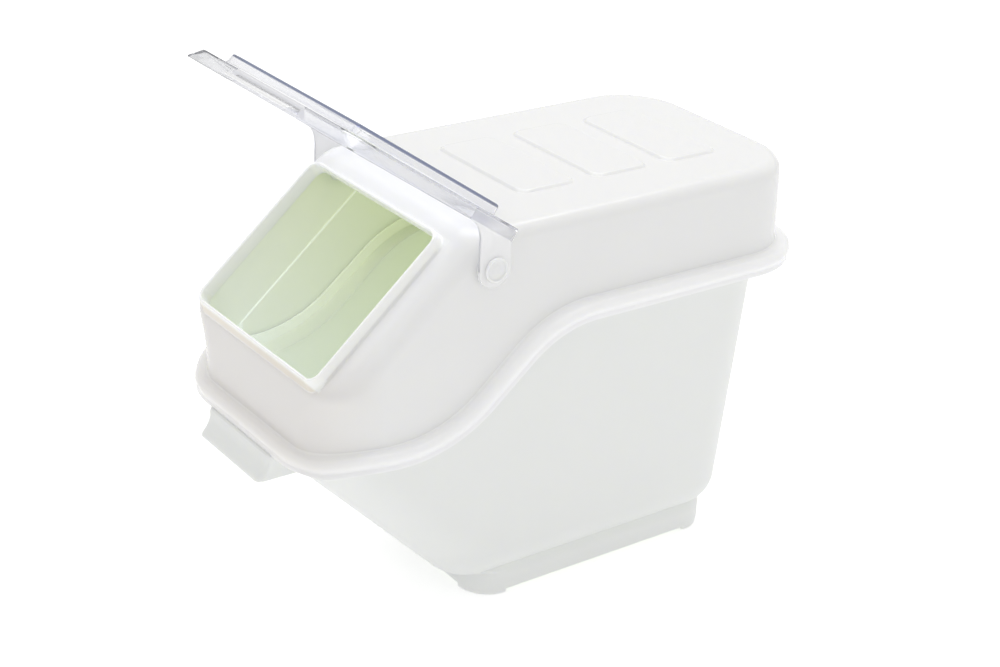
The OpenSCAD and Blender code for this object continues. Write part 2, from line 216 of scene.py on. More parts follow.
def plinth_ring(inset):
    """The plinth's outline, drawn in."""
    r = PLINTH_R - inset
    return lambda z: outline(
        PLINTH_HALF - inset, PLINTH_FRONT + inset, PLINTH_BACK - inset, r, r
    )


def edge_level(degrees, r):
    """A level on the tub's rounded lower edge, from the angle below its upper end."""
    return even(WALL_START - r * math.sin(math.radians(degrees)))


def place(shape, level):
    """One ring of points. Its outline depends on each column's height and its height
    on the column's y, so the two are worked out in turn until they agree."""
    z = np.full(RING.shape[1], FIRST_Z)
    for _ in range(PLACE_ROUNDS):
        x, y = shape(z)
        z = level(y)
    return np.stack([x, y, z], 1)


def new_piece(name, points, faces):
    """An object at the origin with a mesh of points, in metres, and faces."""
    mesh = bpy.data.meshes.new(name)
    mesh.from_pydata([tuple(p) for p in points], [], faces)
    mesh.update()
    piece = bpy.data.objects.new(name, mesh)
    bpy.context.scene.collection.objects.link(piece)
    return piece


def shell(name, rings, loop=False):
    """A closed mesh through rings of points in millimetres, inner skin first and outer
    skin last, so that its faces look outwards. A looped one has no flat ends."""
    count = len(rings[0])
    faces = []
    for low in range(len(rings) if loop else len(rings) - 1):
        high = (low + 1) % len(rings)
        for j in range(count):
            k = (j + 1) % count
            faces.append((low * count + j, low * count + k, high * count + k, high * count + j))
    if not loop:
        faces.append(tuple(range(count - 1, -1, -1)))
        faces.append(tuple(range((len(rings) - 1) * count, len(rings) * count)))
    return new_piece(name, np.concatenate(rings) * MM, faces)


def feed(tree, made, sources):
    """Gives a node's inputs their values, or links them to other nodes' outputs."""
    for socket, source in sources:
        if hasattr(source, "is_output"):
            tree.links.new(source, made.inputs[socket])
        else:
            made.inputs[socket].default_value = source


def node(tree, kind, sources=(), **settings):
    """Adds a node with its own settings and feeds its inputs."""
    made = tree.nodes.new(kind)
    for key, value in settings.items():
        setattr(made, key, value)
    feed(tree, made, sources)
    return made


def worked_out(tree, operation, *values):
    """The result of a Math node."""
    return node(tree, "ShaderNodeMath", enumerate(values), operation=operation).outputs[0]


def noise(tree, place_now, scale, detail, rough, distortion=0.0):
    """The value of a Noise Texture node."""
    return node(tree, "ShaderNodeTexNoise", [
        ("Vector", place_now), ("Scale", scale), ("Detail", detail), ("Roughness", rough),
        ("Distortion", distortion),
    ]).outputs["Fac"]


def ranged(tree, value, start=0.0, end=1.0, low=0.0, high=1.0):
    """Turns start to end into low to high, and holds it there on both sides."""
    return node(tree, "ShaderNodeMapRange", [
        ("Value", value), ("From Min", start), ("From Max", end), ("To Min", low), ("To Max", high),
    ]).outputs["Result"]


def mixed(tree, factor, first, second, blend="MIX"):
    """The colour of a Mix node."""
    return node(
        tree, "ShaderNodeMix", [("Factor", factor), (6, first), (7, second)],
        data_type="RGBA", blend_type=blend,
    ).outputs[2]


def new_group(name, inputs, outputs):
    """A shader node group with named number inputs and named outputs."""
    group = bpy.data.node_groups.new(name, "ShaderNodeTree")
    for label, value in inputs.items():
        socket = group.interface.new_socket(label, in_out="INPUT", socket_type="NodeSocketFloat")
        socket.default_value = value
    for label in outputs:
        group.interface.new_socket(label, in_out="OUTPUT", socket_type="NodeSocketFloat")
    return group, group.nodes.new("NodeGroupInput").outputs, group.nodes.new("NodeGroupOutput")


# Moulded skin: the faint orange peel and the flow marks of an injection moulding
skin_group, skin_in, skin_out = new_group(
    "moulded_skin",
    {"Peel Scale": 900.0, "Flow Scale": 9.0, "Peel Depth": 0.4, "Flow Depth": 0.6},
    ["Height", "Cloud"],
)
skin_place = node(skin_group, "ShaderNodeTexCoord").outputs["Object"]
peel = noise(skin_group, skin_place, skin_in["Peel Scale"], 3.0, 0.55)
flow = noise(skin_group, skin_place, skin_in["Flow Scale"], 4.0, 0.5, 0.6)
peel_part = worked_out(skin_group, "MULTIPLY", peel, skin_in["Peel Depth"])
flow_part = worked_out(skin_group, "MULTIPLY", flow, skin_in["Flow Depth"])
skin_sum = worked_out(skin_group, "ADD", peel_part, flow_part)
feed(skin_group, skin_out, [("Height", skin_sum), ("Cloud", flow)])

# Handling marks: soft rubbed patches, fine hairline scratches and rubbed edges
wear_group, wear_in, wear_out = new_group(
    "handling_wear",
    {"Patch Scale": 14.0, "Hair Scale": 60.0, "Hair Amount": 0.5, "Edge Amount": 0.6},
    ["Rub", "Hair", "Edge"],
)
wear_place = node(wear_group, "ShaderNodeTexCoord").outputs["Object"]
patch = noise(wear_group, wear_place, wear_in["Patch Scale"], 5.0, 0.65)
stretch = node(wear_group, "ShaderNodeMapping", [
    ("Vector", wear_place), ("Rotation", (0.3, 0.5, 0.9)), ("Scale", (1.0, 0.06, 1.0)),
])
hair = noise(wear_group, stretch.outputs["Vector"], wear_in["Hair Scale"], 8.0, 0.7)
hair_mask = ranged(wear_group, hair, 0.64, 0.78)
bend_of_form = node(wear_group, "ShaderNodeNewGeometry").outputs["Pointiness"]
edge_mask = ranged(wear_group, bend_of_form, 0.52, 0.6)
feed(wear_group, wear_out, [
    ("Rub", ranged(wear_group, patch, 0.3, 0.75)),
    ("Hair", worked_out(wear_group, "MULTIPLY", hair_mask, wear_in["Hair Amount"])),
    ("Edge", worked_out(wear_group, "MULTIPLY", edge_mask, wear_in["Edge Amount"])),
])


def placed_group(tree, group, **values):
    """A node group in a material with its own input values."""
    made = tree.nodes.new("ShaderNodeGroup")
    made.node_tree = group
    feed(tree, made, [(key.replace("_", " "), value) for key, value in values.items()])
    return made.outputs


def new_material(name):
    """A material, its node tree and its shader."""
    material = bpy.data.materials.new(name)
    material.use_nodes = True
    return material, material.node_tree, material.node_tree.nodes["Principled BSDF"]


WORN_EDGE = (0.97, 0.975, 0.97, 1)
HAIR_ROUGHNESS = 0.06
PEEL_RELIEF = 0.0004
THICK_THROUGH = 0.0012
THIN_THROUGH = 0.004


def moulded_plastic(name, light, dark, rough, rough_worn, bump, through=THICK_THROUGH):
    """White moulded plastic: light and dark are its two close shades, rough its gloss,
    and through how far light soaks into it, in metres."""
    material, tree, shader = new_material(name)
    skin = placed_group(tree, skin_group, Peel_Scale=1100.0, Flow_Scale=7.0)
    wear = placed_group(tree, wear_group, Patch_Scale=12.0, Edge_Amount=0.7)
    shade = mixed(tree, skin["Cloud"], light, dark)
    gloss = ranged(tree, wear["Rub"], low=rough, high=rough_worn)
    relief = node(tree, "ShaderNodeBump", [
        ("Strength", bump), ("Distance", PEEL_RELIEF), ("Height", skin["Height"]),
    ])
    feed(tree, shader, [
        ("Base Color", mixed(tree, wear["Edge"], shade, WORN_EDGE)),
        ("Roughness", worked_out(tree, "MULTIPLY_ADD", wear["Hair"], HAIR_ROUGHNESS, gloss)),
        ("Normal", relief.outputs["Normal"]), ("IOR", 1.49), ("Specular IOR Level", 0.5),
        ("Subsurface Weight", 1.0), ("Subsurface Radius", (1.0, 1.0, 0.9)),
        ("Subsurface Scale", through),
    ])
    return material


def across(material, direction, start, end):
    """A value that runs from 0 to 1 between two places along a direction, in metres."""
    tree = material.node_tree
    place_now = node(tree, "ShaderNodeTexCoord").outputs["Object"]
    reach = node(
        tree, "ShaderNodeVectorMath", [(0, place_now), (1, direction)], operation="DOT_PRODUCT"
    )
    return ranged(tree, reach.outputs["Value"], start, end)


def tint(material, factor, colour):
    """Multiplies a material's colour by another where the factor is high."""
    tree = material.node_tree
    base = tree.nodes["Principled BSDF"].inputs["Base Color"]
    tree.links.new(mixed(tree, factor, base.links[0].from_socket, colour, "MULTIPLY"), base)


def glow(material, strength, colour=None):
    """Light that a material gives off, in a colour of its own or the one it has."""
    tree = material.node_tree
    sources = [("Emission Strength", strength)]
    if colour is not None:
        sources.append(("Emission Color", colour))
    feed(tree, tree.nodes["Principled BSDF"], sources)


def coated(piece, *materials):
    """Gives a piece its materials, in the order of its slots."""
    for material in materials:
        piece.data.materials.append(material)
    return piece


tub_plastic = moulded_plastic(
    "tub_plastic", (0.89, 0.90, 0.885, 1), (0.87, 0.885, 0.87, 1), 0.30, 0.34, 0.12
)
# Painted light: the inside is given a glow and tints that stand in for the light soaking
# through the walls: mint low down, grey-green near the mouth and yellow-green towards the back
MINT = (0.84, 0.96, 0.94, 1)
GREY_GREEN = (0.64, 0.64, 0.54, 1)
YELLOW_GREEN = (0.46, 0.55, 0.22, 1)
inside_plastic = moulded_plastic(
    "inside_plastic", (0.915, 0.93, 0.90, 1), (0.90, 0.92, 0.885, 1), 0.28, 0.32, 0.1, THIN_THROUGH
)
inside_tree = inside_plastic.node_tree
inside_height = across(inside_plastic, (0, 0, 1), 0.16, 0.40)
inside_depth = across(inside_plastic, (0, 1, 0), -0.22, 0.02)
inside_high = mixed(inside_tree, inside_depth, GREY_GREEN, YELLOW_GREEN)
glow(inside_plastic, 0.12, mixed(inside_tree, inside_height, MINT, inside_high))
tint(inside_plastic, inside_height, (0.965, 0.965, 0.925, 1))
tint(inside_plastic, inside_depth, (0.945, 0.965, 0.855, 1))
# Painted light: the lip is given a lighter shade and a glow, standing in for the light it
# catches from the mouth, so it is brighter than the walls round it
LIP_MINT = (0.90, 1.0, 0.98, 1)
LIP_GREEN = (0.62, 0.68, 0.40, 1)
lip_plastic = moulded_plastic(
    "lip_plastic", (0.93, 0.955, 0.90, 1), (0.91, 0.94, 0.88, 1), 0.26, 0.30, 0.1
)
lip_depth = across(lip_plastic, (0, 1, 0), -0.22, -0.04)
glow(lip_plastic, 0.28, mixed(lip_plastic.node_tree, lip_depth, LIP_MINT, LIP_GREEN))
tint(lip_plastic, lip_depth, (0.95, 0.96, 0.86, 1))

# Outer skin, from the plinth's underside up to the flange: how far in, height
PLINTH_PROFILE = [
    (3.0, FOOT_H), (1.0, FOOT_H + 0.15), (0.3, FOOT_H + 0.6), (0.0, FOOT_H + 1.4), (0.0, 12.0),
    (0.0, 20.0), (-0.1, 25.5),
]
WALL_RINGS = 24
tub_rings = [place(plinth_ring(inset), even(z)) for inset, z in PLINTH_PROFILE]
for degrees in (56, 50, 44, 38, 32, 26, 20, 14, 8, 3, 0):
    tub_rings.append(place(tub_ring, edge_level(degrees, TUB_EDGE_R)))
under_flange = at_seam(RIM_H + 1.2)
for share in np.linspace(0, 1, WALL_RINGS + 1)[1:]:
    tub_rings.append(place(tub_ring, part_way(even(WALL_START), under_flange, share)))
outer_count = len(tub_rings)
# Flange and its rounded edge: share of the rim's overhang, depth under the seam
FLANGE_PROFILE = [
    (0.1, RIM_H + 0.1), (0.6, RIM_H), (0.73, RIM_H - 0.1), (0.775, RIM_H - 0.5),
    (0.79, RIM_H - 1.2), (0.775, RIM_H - 2.3), (0.73, RIM_H - 2.8), (0.6, RIM_H - 3),
]
for share, drop in FLANGE_PROFILE:
    tub_rings.append(place(lambda z: rim_ring(z, share), at_seam(drop)))
# Locating lip inside the hood: how far out from the hood's wall, depth under the seam
LIP_PROFILE = [
    (-3.3, RIM_H - 3), (-3.25, RIM_H - 4), (-3.25, 4.1), (-3.4, 3.65), (-3.8, 3.5), (-5.2, 3.5),
    (-5.7, 3.7), (-6.0, 4.3), (-6.0, RIM_H - 4), (-6.2, RIM_H - 3.1),
]
LIP_EDGE_FROM = 3
LIP_INSIDE_TO = 9
for out, drop in LIP_PROFILE:
    tub_rings.append(place(lambda z: hood_ring(z, out), at_seam(drop)))
# Inner skin down to the floor, the floor's rounded edge and the floor
INNER_RINGS = 22
FLOOR_PROFILE = [
    (TUB_WALL - 0.2, 26.5), (TUB_WALL, 24.0), (TUB_WALL, FLOOR_Z + 4),
    (TUB_WALL + 1.2, FLOOR_Z + 1.2), (TUB_WALL + 4, FLOOR_Z), (TUB_WALL + 8, FLOOR_Z),
]
over_flange = at_seam(RIM_H - 3)
for share in np.linspace(0, 1, INNER_RINGS + 1)[:-1]:
    tub_rings.append(place(inner_ring, part_way(over_flange, even(WALL_START), share)))
for degrees in (0, 8, 16, 24, 32, 40, 48, 56):
    tub_rings.append(place(inner_ring, edge_level(degrees, TUB_EDGE_R - TUB_WALL)))
for inset, z in FLOOR_PROFILE:
    tub_rings.append(place(plinth_ring(inset), even(z)))
tub_shell = coated(shell("tub_shell", tub_rings), tub_plastic, inside_plastic, lip_plastic)
lip_start = outer_count + len(FLANGE_PROFILE)
for k, face in enumerate(tub_shell.data.polygons):
    ring = k // RING.shape[1] - lip_start
    face.material_index = 0 if ring < LIP_EDGE_FROM else 2 if ring < LIP_INSIDE_TO else 1

# ---------------------------------------------------------------- Front pull
# The hanging lip under the rim at the front, moulded in one with the tub: a
# sloping top, a short straight lip and a cheek at each end, open below.
PULL_HALF = 56.0
PULL_Z = 187.54
PULL_TOP_Z = 212.0
PULL_FRONT = -300.0
PULL_LIP_Z = PULL_Z + 4.0
PULL_WALL = 3.0
PULL_R = 7.0
PULL_LEAST_R = 1.5
PULL_BACK_R = 1.0
PULL_INTO_TUB = 2.4
PULL_CAVITY_INTO_TUB = 1.2
# Its front, from the lower edge up: height, and how far back it stands
PULL_UP = [0.0, 2.6, 5.0, 8.0, 11.5, 15.0, 18.5, 23.0, 24.5, 26.0]
PULL_SET_BACK = [0.0, 0.3, 2.0, 4.6, 6.8, 8.8, 10.2, 11.1, 11.6, 14.0]
PULL_FLARE = 3.0
FLARE_UP = 5.0
FLARE_L = 17.0


def pull_ring(z, inset, into):
    """The pull at a height, drawn in by its wall and let into the tub's wall."""
    front = PULL_FRONT + np.interp(z - PULL_Z, PULL_UP, PULL_SET_BACK) + inset
    back = tub_front(z) + into
    r = max(PULL_R - inset, PULL_LEAST_R)
    flare = PULL_FLARE * min(max((z - PULL_Z - FLARE_UP) / FLARE_L, 0.0), 1.0) ** 2
    half = PULL_HALF + flare - inset
    return place(lambda now: outline(half, front, back, r, PULL_BACK_R), even(z))


PULL_CAVITY = [
    (PULL_TOP_Z - 3.5, 6.0), (PULL_TOP_Z - 3.5, PULL_WALL + 1.0), (PULL_TOP_Z - 4.5, PULL_WALL),
    (PULL_TOP_Z - 7, PULL_WALL), (PULL_LIP_Z + 8, PULL_WALL), (PULL_LIP_Z + 4, PULL_WALL),
    (PULL_LIP_Z, PULL_WALL), (PULL_Z + 0.7, PULL_WALL), (PULL_Z + 0.15, PULL_WALL - 0.5),
    (PULL_Z, PULL_WALL - 1.0),
]
PULL_EDGE = [(PULL_Z, 1.0), (PULL_Z + 0.15, 0.4), (PULL_Z + 0.7, 0.0)]
PULL_RISES = (1.6, 2.6, 3.8, 5.0, 6.5, 8.0, 9.7, 11.5, 13.2, 15.0, 16.8, 18.5, 20.5, 23.0, 24.0,
              24.5, 25.0, 26.0)
pull_rings = [pull_ring(z, inset, PULL_CAVITY_INTO_TUB) for z, inset in PULL_CAVITY]
pull_rings += [pull_ring(z, inset, PULL_INTO_TUB) for z, inset in PULL_EDGE]
pull_rings += [pull_ring(PULL_Z + rise, 0.0, PULL_INTO_TUB) for rise in PULL_RISES]
pull_shell = coated(shell("pull_shell", pull_rings), tub_plastic)


def join(name, parts):
    """Several closed bodies as one object with one mesh."""
    with bpy.context.temp_override(
        active_object=parts[0], object=parts[0], selected_editable_objects=parts
    ):
        bpy.ops.object.join()
    parts[0].name = name
    parts[0].data.name = name
    return parts[0]


def smooth(piece, angle=40):
    """Rounds the shading of a piece, with an edge left sharp where it turns further."""
    mesh = piece.data
    mesh.polygons.foreach_set("use_smooth", [True] * len(mesh.polygons))
    mesh.set_sharp_from_angle(angle=math.radians(angle))


tub = join("tub_body", [tub_shell, pull_shell])
smooth(tub)
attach(tub, "tub")
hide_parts("tub")

# ---------------------------------------------------------------- Corner feet
# Four low feet under the plinth's corners, moulded with the tub. Each follows
# the plinth's round corner.
FOOT_L = 37.0
FOOT_INNER_R = 3.0
FOOT_STEPS = 10
FOOT_TAPER = 0.985
FOOT_INSET = 0.6
FOOT_ROOT = 0.6
MERGE = 1e-6


def settled(piece):
    """Turns a piece with live modifiers into a plain mesh."""
    graph = bpy.context.evaluated_depsgraph_get()
    mesh = bpy.data.meshes.new_from_object(piece.evaluated_get(graph))
    piece.modifiers.clear()
    piece.data = mesh


def geometry_tree(name, inputs):
    """A geometry node tree with named inputs and one mesh output."""
    tree = bpy.data.node_groups.new(name, "GeometryNodeTree")
    tree.interface.new_socket("Geometry", in_out="OUTPUT", socket_type="NodeSocketGeometry")
    for label, kind in inputs.items():
        tree.interface.new_socket(label, in_out="INPUT", socket_type="NodeSocket" + kind)
    return tree, tree.nodes.new("NodeGroupInput").outputs, tree.nodes.new("NodeGroupOutput")


def grown(name, tree, values):
    """Runs a geometry node tree once and keeps its result as a plain mesh."""
    piece = bpy.data.objects.new(name, bpy.data.meshes.new(name))
    bpy.context.scene.collection.objects.link(piece)
    modifier = piece.modifiers.new(name, "NODES")
    modifier.node_group = tree
    for item in tree.interface.items_tree:
        if item.item_type == "SOCKET" and item.in_out == "INPUT" and item.name in values:
            modifier[item.identifier] = values[item.name]
    piece.data.update()
    settled(piece)
    piece.data.name = name
    return piece


def rounded_square(tree, width, length, radius, steps):
    """A flat face with rounded corners, made in a geometry node tree."""
    square = node(
        tree, "GeometryNodeCurvePrimitiveQuadrilateral", [("Width", width), ("Height", length)]
    )
    eased = node(tree, "GeometryNodeFilletCurve", [
        ("Curve", square.outputs[0]), ("Radius", radius), ("Limit Radius", True), ("Count", steps),
    ], mode="POLY")
    return node(
        tree, "GeometryNodeFillCurve", [("Curve", eased.outputs[0])], mode="NGONS"
    ).outputs[0]


feet_tree, feet_in, feet_out = geometry_tree("corner_feet", {
    "Foot Length": "Float", "Foot Height": "Float", "Corner Radius": "Float",
    "Half Width": "Float", "Half Length": "Float", "Middle": "Float", "Plastic": "Material",
})
foot_index = node(feet_tree, "GeometryNodeInputIndex")
outer_corner = node(
    feet_tree, "FunctionNodeCompare", [(2, foot_index.outputs[0]), (3, 0)],
    data_type="INT", operation="EQUAL",
)
corner_radius = node(feet_tree, "GeometryNodeSwitch", [
    ("Switch", outer_corner.outputs[0]), ("False", FOOT_INNER_R * MM),
    ("True", feet_in["Corner Radius"]),
], input_type="FLOAT")
foot_face = rounded_square(
    feet_tree, feet_in["Foot Length"], feet_in["Foot Length"], corner_radius.outputs[0], FOOT_STEPS
)
foot_body = node(feet_tree, "GeometryNodeExtrudeMesh", [
    ("Mesh", foot_face), ("Offset Scale", feet_in["Foot Height"]),
])
foot_sole = node(feet_tree, "GeometryNodeScaleElements", [
    ("Geometry", foot_body.outputs["Mesh"]), ("Selection", foot_body.outputs["Top"]),
    ("Scale", FOOT_TAPER),
])
foot_keep = node(feet_tree, "GeometryNodeMergeByDistance", [
    ("Geometry", foot_sole.outputs[0]), ("Distance", MERGE),
])
# One foot at each corner of a grid, turned so that its round corner points outwards
feet_grid = node(feet_tree, "GeometryNodeMeshGrid", [
    ("Size X", worked_out(feet_tree, "MULTIPLY", feet_in["Half Width"], 2.0)),
    ("Size Y", worked_out(feet_tree, "MULTIPLY", feet_in["Half Length"], 2.0)),
    ("Vertices X", 2), ("Vertices Y", 2),
])
foot_at = node(feet_tree, "GeometryNodeInputPosition").outputs[0]
foot_parts = node(feet_tree, "ShaderNodeSeparateXYZ", [(0, foot_at)])
sign_x = worked_out(feet_tree, "SIGN", foot_parts.outputs["X"])
sign_y = worked_out(feet_tree, "SIGN", foot_parts.outputs["Y"])
turn = worked_out(feet_tree, "ARCTAN2", sign_y, sign_x)
turn_back = worked_out(feet_tree, "SUBTRACT", turn, math.pi / 4)
turn_vector = node(feet_tree, "ShaderNodeCombineXYZ", [("Z", turn_back)])
feet_set = node(feet_tree, "GeometryNodeInstanceOnPoints", [
    ("Points", feet_grid.outputs["Mesh"]), ("Instance", foot_keep.outputs[0]),
    ("Rotation", turn_vector.outputs[0]),
])
feet_shift = node(feet_tree, "ShaderNodeCombineXYZ", [("Y", feet_in["Middle"])])
feet_moved = node(feet_tree, "GeometryNodeTransform", [
    ("Geometry", feet_set.outputs[0]), ("Translation", feet_shift.outputs[0]),
])


def ended(tree, instances, plastic, group_out):
    """Ends a geometry node tree: instances made real, with their material."""
    real = node(tree, "GeometryNodeRealizeInstances", [("Geometry", instances)])
    done = node(tree, "GeometryNodeSetMaterial", [
        ("Geometry", real.outputs[0]), ("Material", plastic),
    ])
    tree.links.new(done.outputs[0], group_out.inputs["Geometry"])


ended(feet_tree, feet_moved.outputs[0], feet_in["Plastic"], feet_out)
feet = grown("corner_feet", feet_tree, {
    "Foot Length": FOOT_L * MM, "Foot Height": FOOT_H * MM, "Corner Radius": PLINTH_R * MM,
    "Half Width": (PLINTH_HALF - FOOT_L / 2 - FOOT_INSET) * MM,
    "Half Length": ((PLINTH_BACK - PLINTH_FRONT) / 2 - FOOT_L / 2 - FOOT_INSET) * MM,
    "Middle": (PLINTH_BACK + PLINTH_FRONT) / 2 * MM, "Plastic": tub_plastic,
})
upside_down = Matrix.Scale(-1, 4, (0, 0, 1))
feet.data.transform(Matrix.Translation((0, 0, (FOOT_H + FOOT_ROOT) * MM)) @ upside_down)
feet.data.flip_normals()
smooth(feet)
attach(feet, "tub")

# ---------------------------------------------------------------- Hood
# The upper half: a white moulding pressed down over the tub's flange. Its front
# slopes back to a flat top, and a rolled rim runs round it along the seam.
HOOD_WALL = 3.0
TOP_Z = 425.0
SLOPE = math.radians(41.7)
SLOPE_Y = -276.0
SLOPE_Z = 305.5
PANEL_DROP = 12.0
SHOULDER_R = 22.0
TOP_EDGE_R = 14.0
WALL_TOP_Z = TOP_Z - TOP_EDGE_R
FRONT_LOW_Z = 200.0
FAR = 300.0
# Between these heights the front corners turn from the wall's radius to the slope's
CORNER_LOW_Z = 236.0
CORNER_BLEND_H = 88.0
CORNER_EASE = 0.6


def on_slope(along, out):
    """Side view point at a distance up the slope and out from the collar's plane."""
    return np.array([
        SLOPE_Y + along * math.cos(SLOPE) - out * math.sin(SLOPE),
        SLOPE_Z + along * math.sin(SLOPE) + out * math.cos(SLOPE),
    ])


def rounded_corner(before, corner, after, r):
    """Arc of radius r that rounds a corner of a side view, as a list of points."""
    a = (before - corner) / np.linalg.norm(before - corner)
    b = (after - corner) / np.linalg.norm(after - corner)
    half = math.acos(float(np.clip(a @ b, -1, 1))) / 2
    middle = (a + b) / np.linalg.norm(a + b)
    centre = corner + middle * r / math.sin(half)
    start = corner + a * r / math.tan(half) - centre
    end = corner + b * r / math.tan(half) - centre
    a0, a1 = math.atan2(start[1], start[0]), math.atan2(end[1], end[0])
    swing = (a1 - a0 + math.pi) % (2 * math.pi) - math.pi
    return arc(centre[0], centre[1], r, a0, a0 + swing, CORNER_STEPS)


def front_line(inset):
    """Side view of the hood's front: the wall, the slope and the top, rounded."""
    low = np.array([hood_front(FRONT_LOW_Z) + inset, FRONT_LOW_Z])
    up = np.array([FRONT_DRAFT, 1.0])
    foot = on_slope(0, -PANEL_DROP - inset)
    along = np.array([math.cos(SLOPE), math.sin(SLOPE)])
    gap = foot - low
    knee = low + up * (gap[0] * along[1] - gap[1] * along[0]) / (up[0] * along[1] - along[0])
    top = TOP_Z - inset
    brow = foot + along * (top - foot[1]) / along[1]
    line = np.concatenate([
        low[None],
        rounded_corner(low, knee, brow, SHOULDER_R - inset),
        rounded_corner(knee, brow, brow + (FAR, 0), SHOULDER_R - inset),
    ])
    return line[:, 1], line[:, 0]


def hood_shape(inset):
    """Outline of the hood at any height, slope and rounded edges included."""
    line_z, line_y = front_line(inset)
    edge_r = TOP_EDGE_R - inset
    shoulder_r = SHOULDER_R - inset

    def shape(z):
        rise = np.clip(z - WALL_TOP_Z, 0, edge_r)
        less = edge_r - np.sqrt(edge_r * edge_r - rise * rise)
        half = hood_half(z) - inset - less
        back = hood_back(z) - inset - less
        front = np.interp(z, line_z, line_y)
        blend = np.clip((z - CORNER_LOW_Z) / CORNER_BLEND_H, 0, 1)
        blend = blend * blend * (3 - 2 * blend)
        wall_part = (1 - blend) * (HOOD_FRONT_R - inset) - less * CORNER_EASE
        front_rx = wall_part + blend * shoulder_r
        front_ry = wall_part + blend * shoulder_r / math.sin(SLOPE)
        back_r = HOOD_BACK_R - inset - less
        return outline(half, front, back, front_rx, back_r, front_ry=front_ry, back_ry=back_r)

    return shape


WALL_SHARES = np.unique(np.concatenate([
    np.linspace(0, 1, 31), np.linspace(0.2, 0.55, 22), np.linspace(0.9, 1, 6),
]))


def wall_rings(inset, start_drop):
    """Rings of the hood's wall from the seam to the start of the top's rounded edge."""
    shape = hood_shape(inset)
    foot = place(shape, at_seam(start_drop))[:, 2]
    return [
        place(shape, lambda y: foot + share * (WALL_TOP_Z - foot)) for share in WALL_SHARES
    ]


def top_rings(inset):
    """Rings of the top's rounded edge."""
    shape = hood_shape(inset)
    return [
        place(shape, even(WALL_TOP_Z + (TOP_EDGE_R - inset) * math.sin(math.radians(degrees))))
        for degrees in (8, 18, 28, 38, 48, 58, 68, 78, 90)
    ]


def shrunk(ring, by):
    """A ring drawn in towards the middle line, for the flat edge of a cap."""
    inner = ring.copy()
    mid = (ring[:, 1].min() + ring[:, 1].max()) / 2
    far = np.abs(ring[:, 0]).max()
    reach = (ring[:, 1].max() - ring[:, 1].min()) / 2
    inner[:, 0] *= 1 - by / far
    inner[:, 1] = mid + (ring[:, 1] - mid) * (1 - by / reach)
    return inner


# The wall's lower end, and the start of the rim's channel: out from the wall, under the seam
LOWER_END = [
    (-2.6, RIM_H - 3.75), (-1.5, RIM_H - 3.5), (-0.4, RIM_H - 3.75), (0.0, RIM_H - 4.2),
    (0.0, 4.4), (0.3, 3.3), (0.9, 2.8),
]
BEAD_R = 6.4
BEAD_WALL = 2.4
BEAD_OUT = RIM_OUT - BEAD_R
SKIRT_PROFILE = [
    (11.55, 8.0), (11.5, 12.0), (11.5, 16.2), (11.65, 16.7), (12.05, 16.9), (12.45, 16.7),
    (12.6, 16.2), (12.55, 12.6), (12.6, 11.6), (12.8, 10.6),
]
RIM_TOP_PROFILE = [
    (6.6, 0.03), (4.2, 0.0), (2.6, 0.0), (1.5, -0.2), (0.75, -0.8), (0.25, -1.7), (0.03, -3.0),
]
RIM_TOP_DROP = -4.5
CAP_EDGES = (3, 8)


def bead(r, angles):
    """Points of the rim's rolled bead, as distances out from the wall and under the seam."""
    turns = [math.radians(a) for a in angles]
    return [(BEAD_OUT + r * math.cos(a), BEAD_R - r * math.sin(a)) for a in turns]


inner_top = top_rings(HOOD_WALL)
hood_rings = [shrunk(inner_top[-1], by) for by in CAP_EDGES[::-1]]
hood_rings += inner_top[::-1] + wall_rings(HOOD_WALL, RIM_H - 4.2)[::-1]
rim_profile = LOWER_END + bead(BEAD_R - BEAD_WALL, (80, 60, 40, 20, 0)) + SKIRT_PROFILE
rim_profile += bead(BEAD_R, (-28, -14, 0, 13, 26, 40, 54, 68, 80)) + RIM_TOP_PROFILE
for out, drop in rim_profile:
    hood_rings.append(place(lambda z: rim_ring(z, out / RIM_OUT), at_seam(drop)))
outer_top = top_rings(0.0)
hood_rings += wall_rings(0.0, RIM_TOP_DROP) + outer_top
hood_rings += [shrunk(outer_top[-1], by) for by in CAP_EDGES]

hood_plastic = moulded_plastic(
    "hood_plastic", (0.91, 0.91, 0.905, 1), (0.89, 0.89, 0.885, 1), 0.15, 0.19, 0.1
)
# Painted shade: the front of the moulding is made a little warmer and duller, standing in
# for shade and a painted warm reflection of the ground
FRONT_SHADE_TONE = (0.925, 0.90, 0.88, 1)
FRONT_SHADE_FROM = 0.215
FRONT_SHADE_TO = 0.285
tint(hood_plastic, across(hood_plastic, (0, -1, 0), FRONT_SHADE_FROM, FRONT_SHADE_TO), FRONT_SHADE_TONE)
hood = coated(shell("hood_body", hood_rings), hood_plastic)

# The mouth, which the collar frames
COLLAR_L = 177.0
COLLAR_HALF = 108.13
COLLAR_WALL = 3.3
COLLAR_R = 13.0
COLLAR_LEAST_R = 1.0
COLLAR_LEAN = 0.45
LEAN_START = -1.5
LEAN_OUT = -0.3
COLLAR_RING = columns(10, 12, 10)
MOUTH_LOW = -40.0
MOUTH_HIGH = 6.0


def collar_ring(out, height):
    """The collar's outline, moved out, at a height over the plane of its lip. Below the
    lip its front face leans out to meet the hood's front wall."""
    r = max(COLLAR_R + out, COLLAR_LEAST_R)
    x, along = outline(COLLAR_HALF + out, -out, COLLAR_L + out, r, r, ring=COLLAR_RING)
    if out > LEAN_OUT and height < LEAN_START:
        front = np.clip((COLLAR_R - along) / COLLAR_R, 0, 1) ** 2
        along = along - front * (COLLAR_LEAN * (LEAN_START - height) - max(out, 0.0))
    y, z = on_slope(along, height)
    return np.stack([x, y, z], 1)


def carve(piece, tool, operation="DIFFERENCE"):
    """Cuts or adds a tool and keeps the result as a plain mesh."""
    modifier = piece.modifiers.new("carve", "BOOLEAN")
    modifier.object = tool
    modifier.operation = operation
    modifier.solver = "EXACT"
    settled(piece)
    bpy.data.objects.remove(tool)


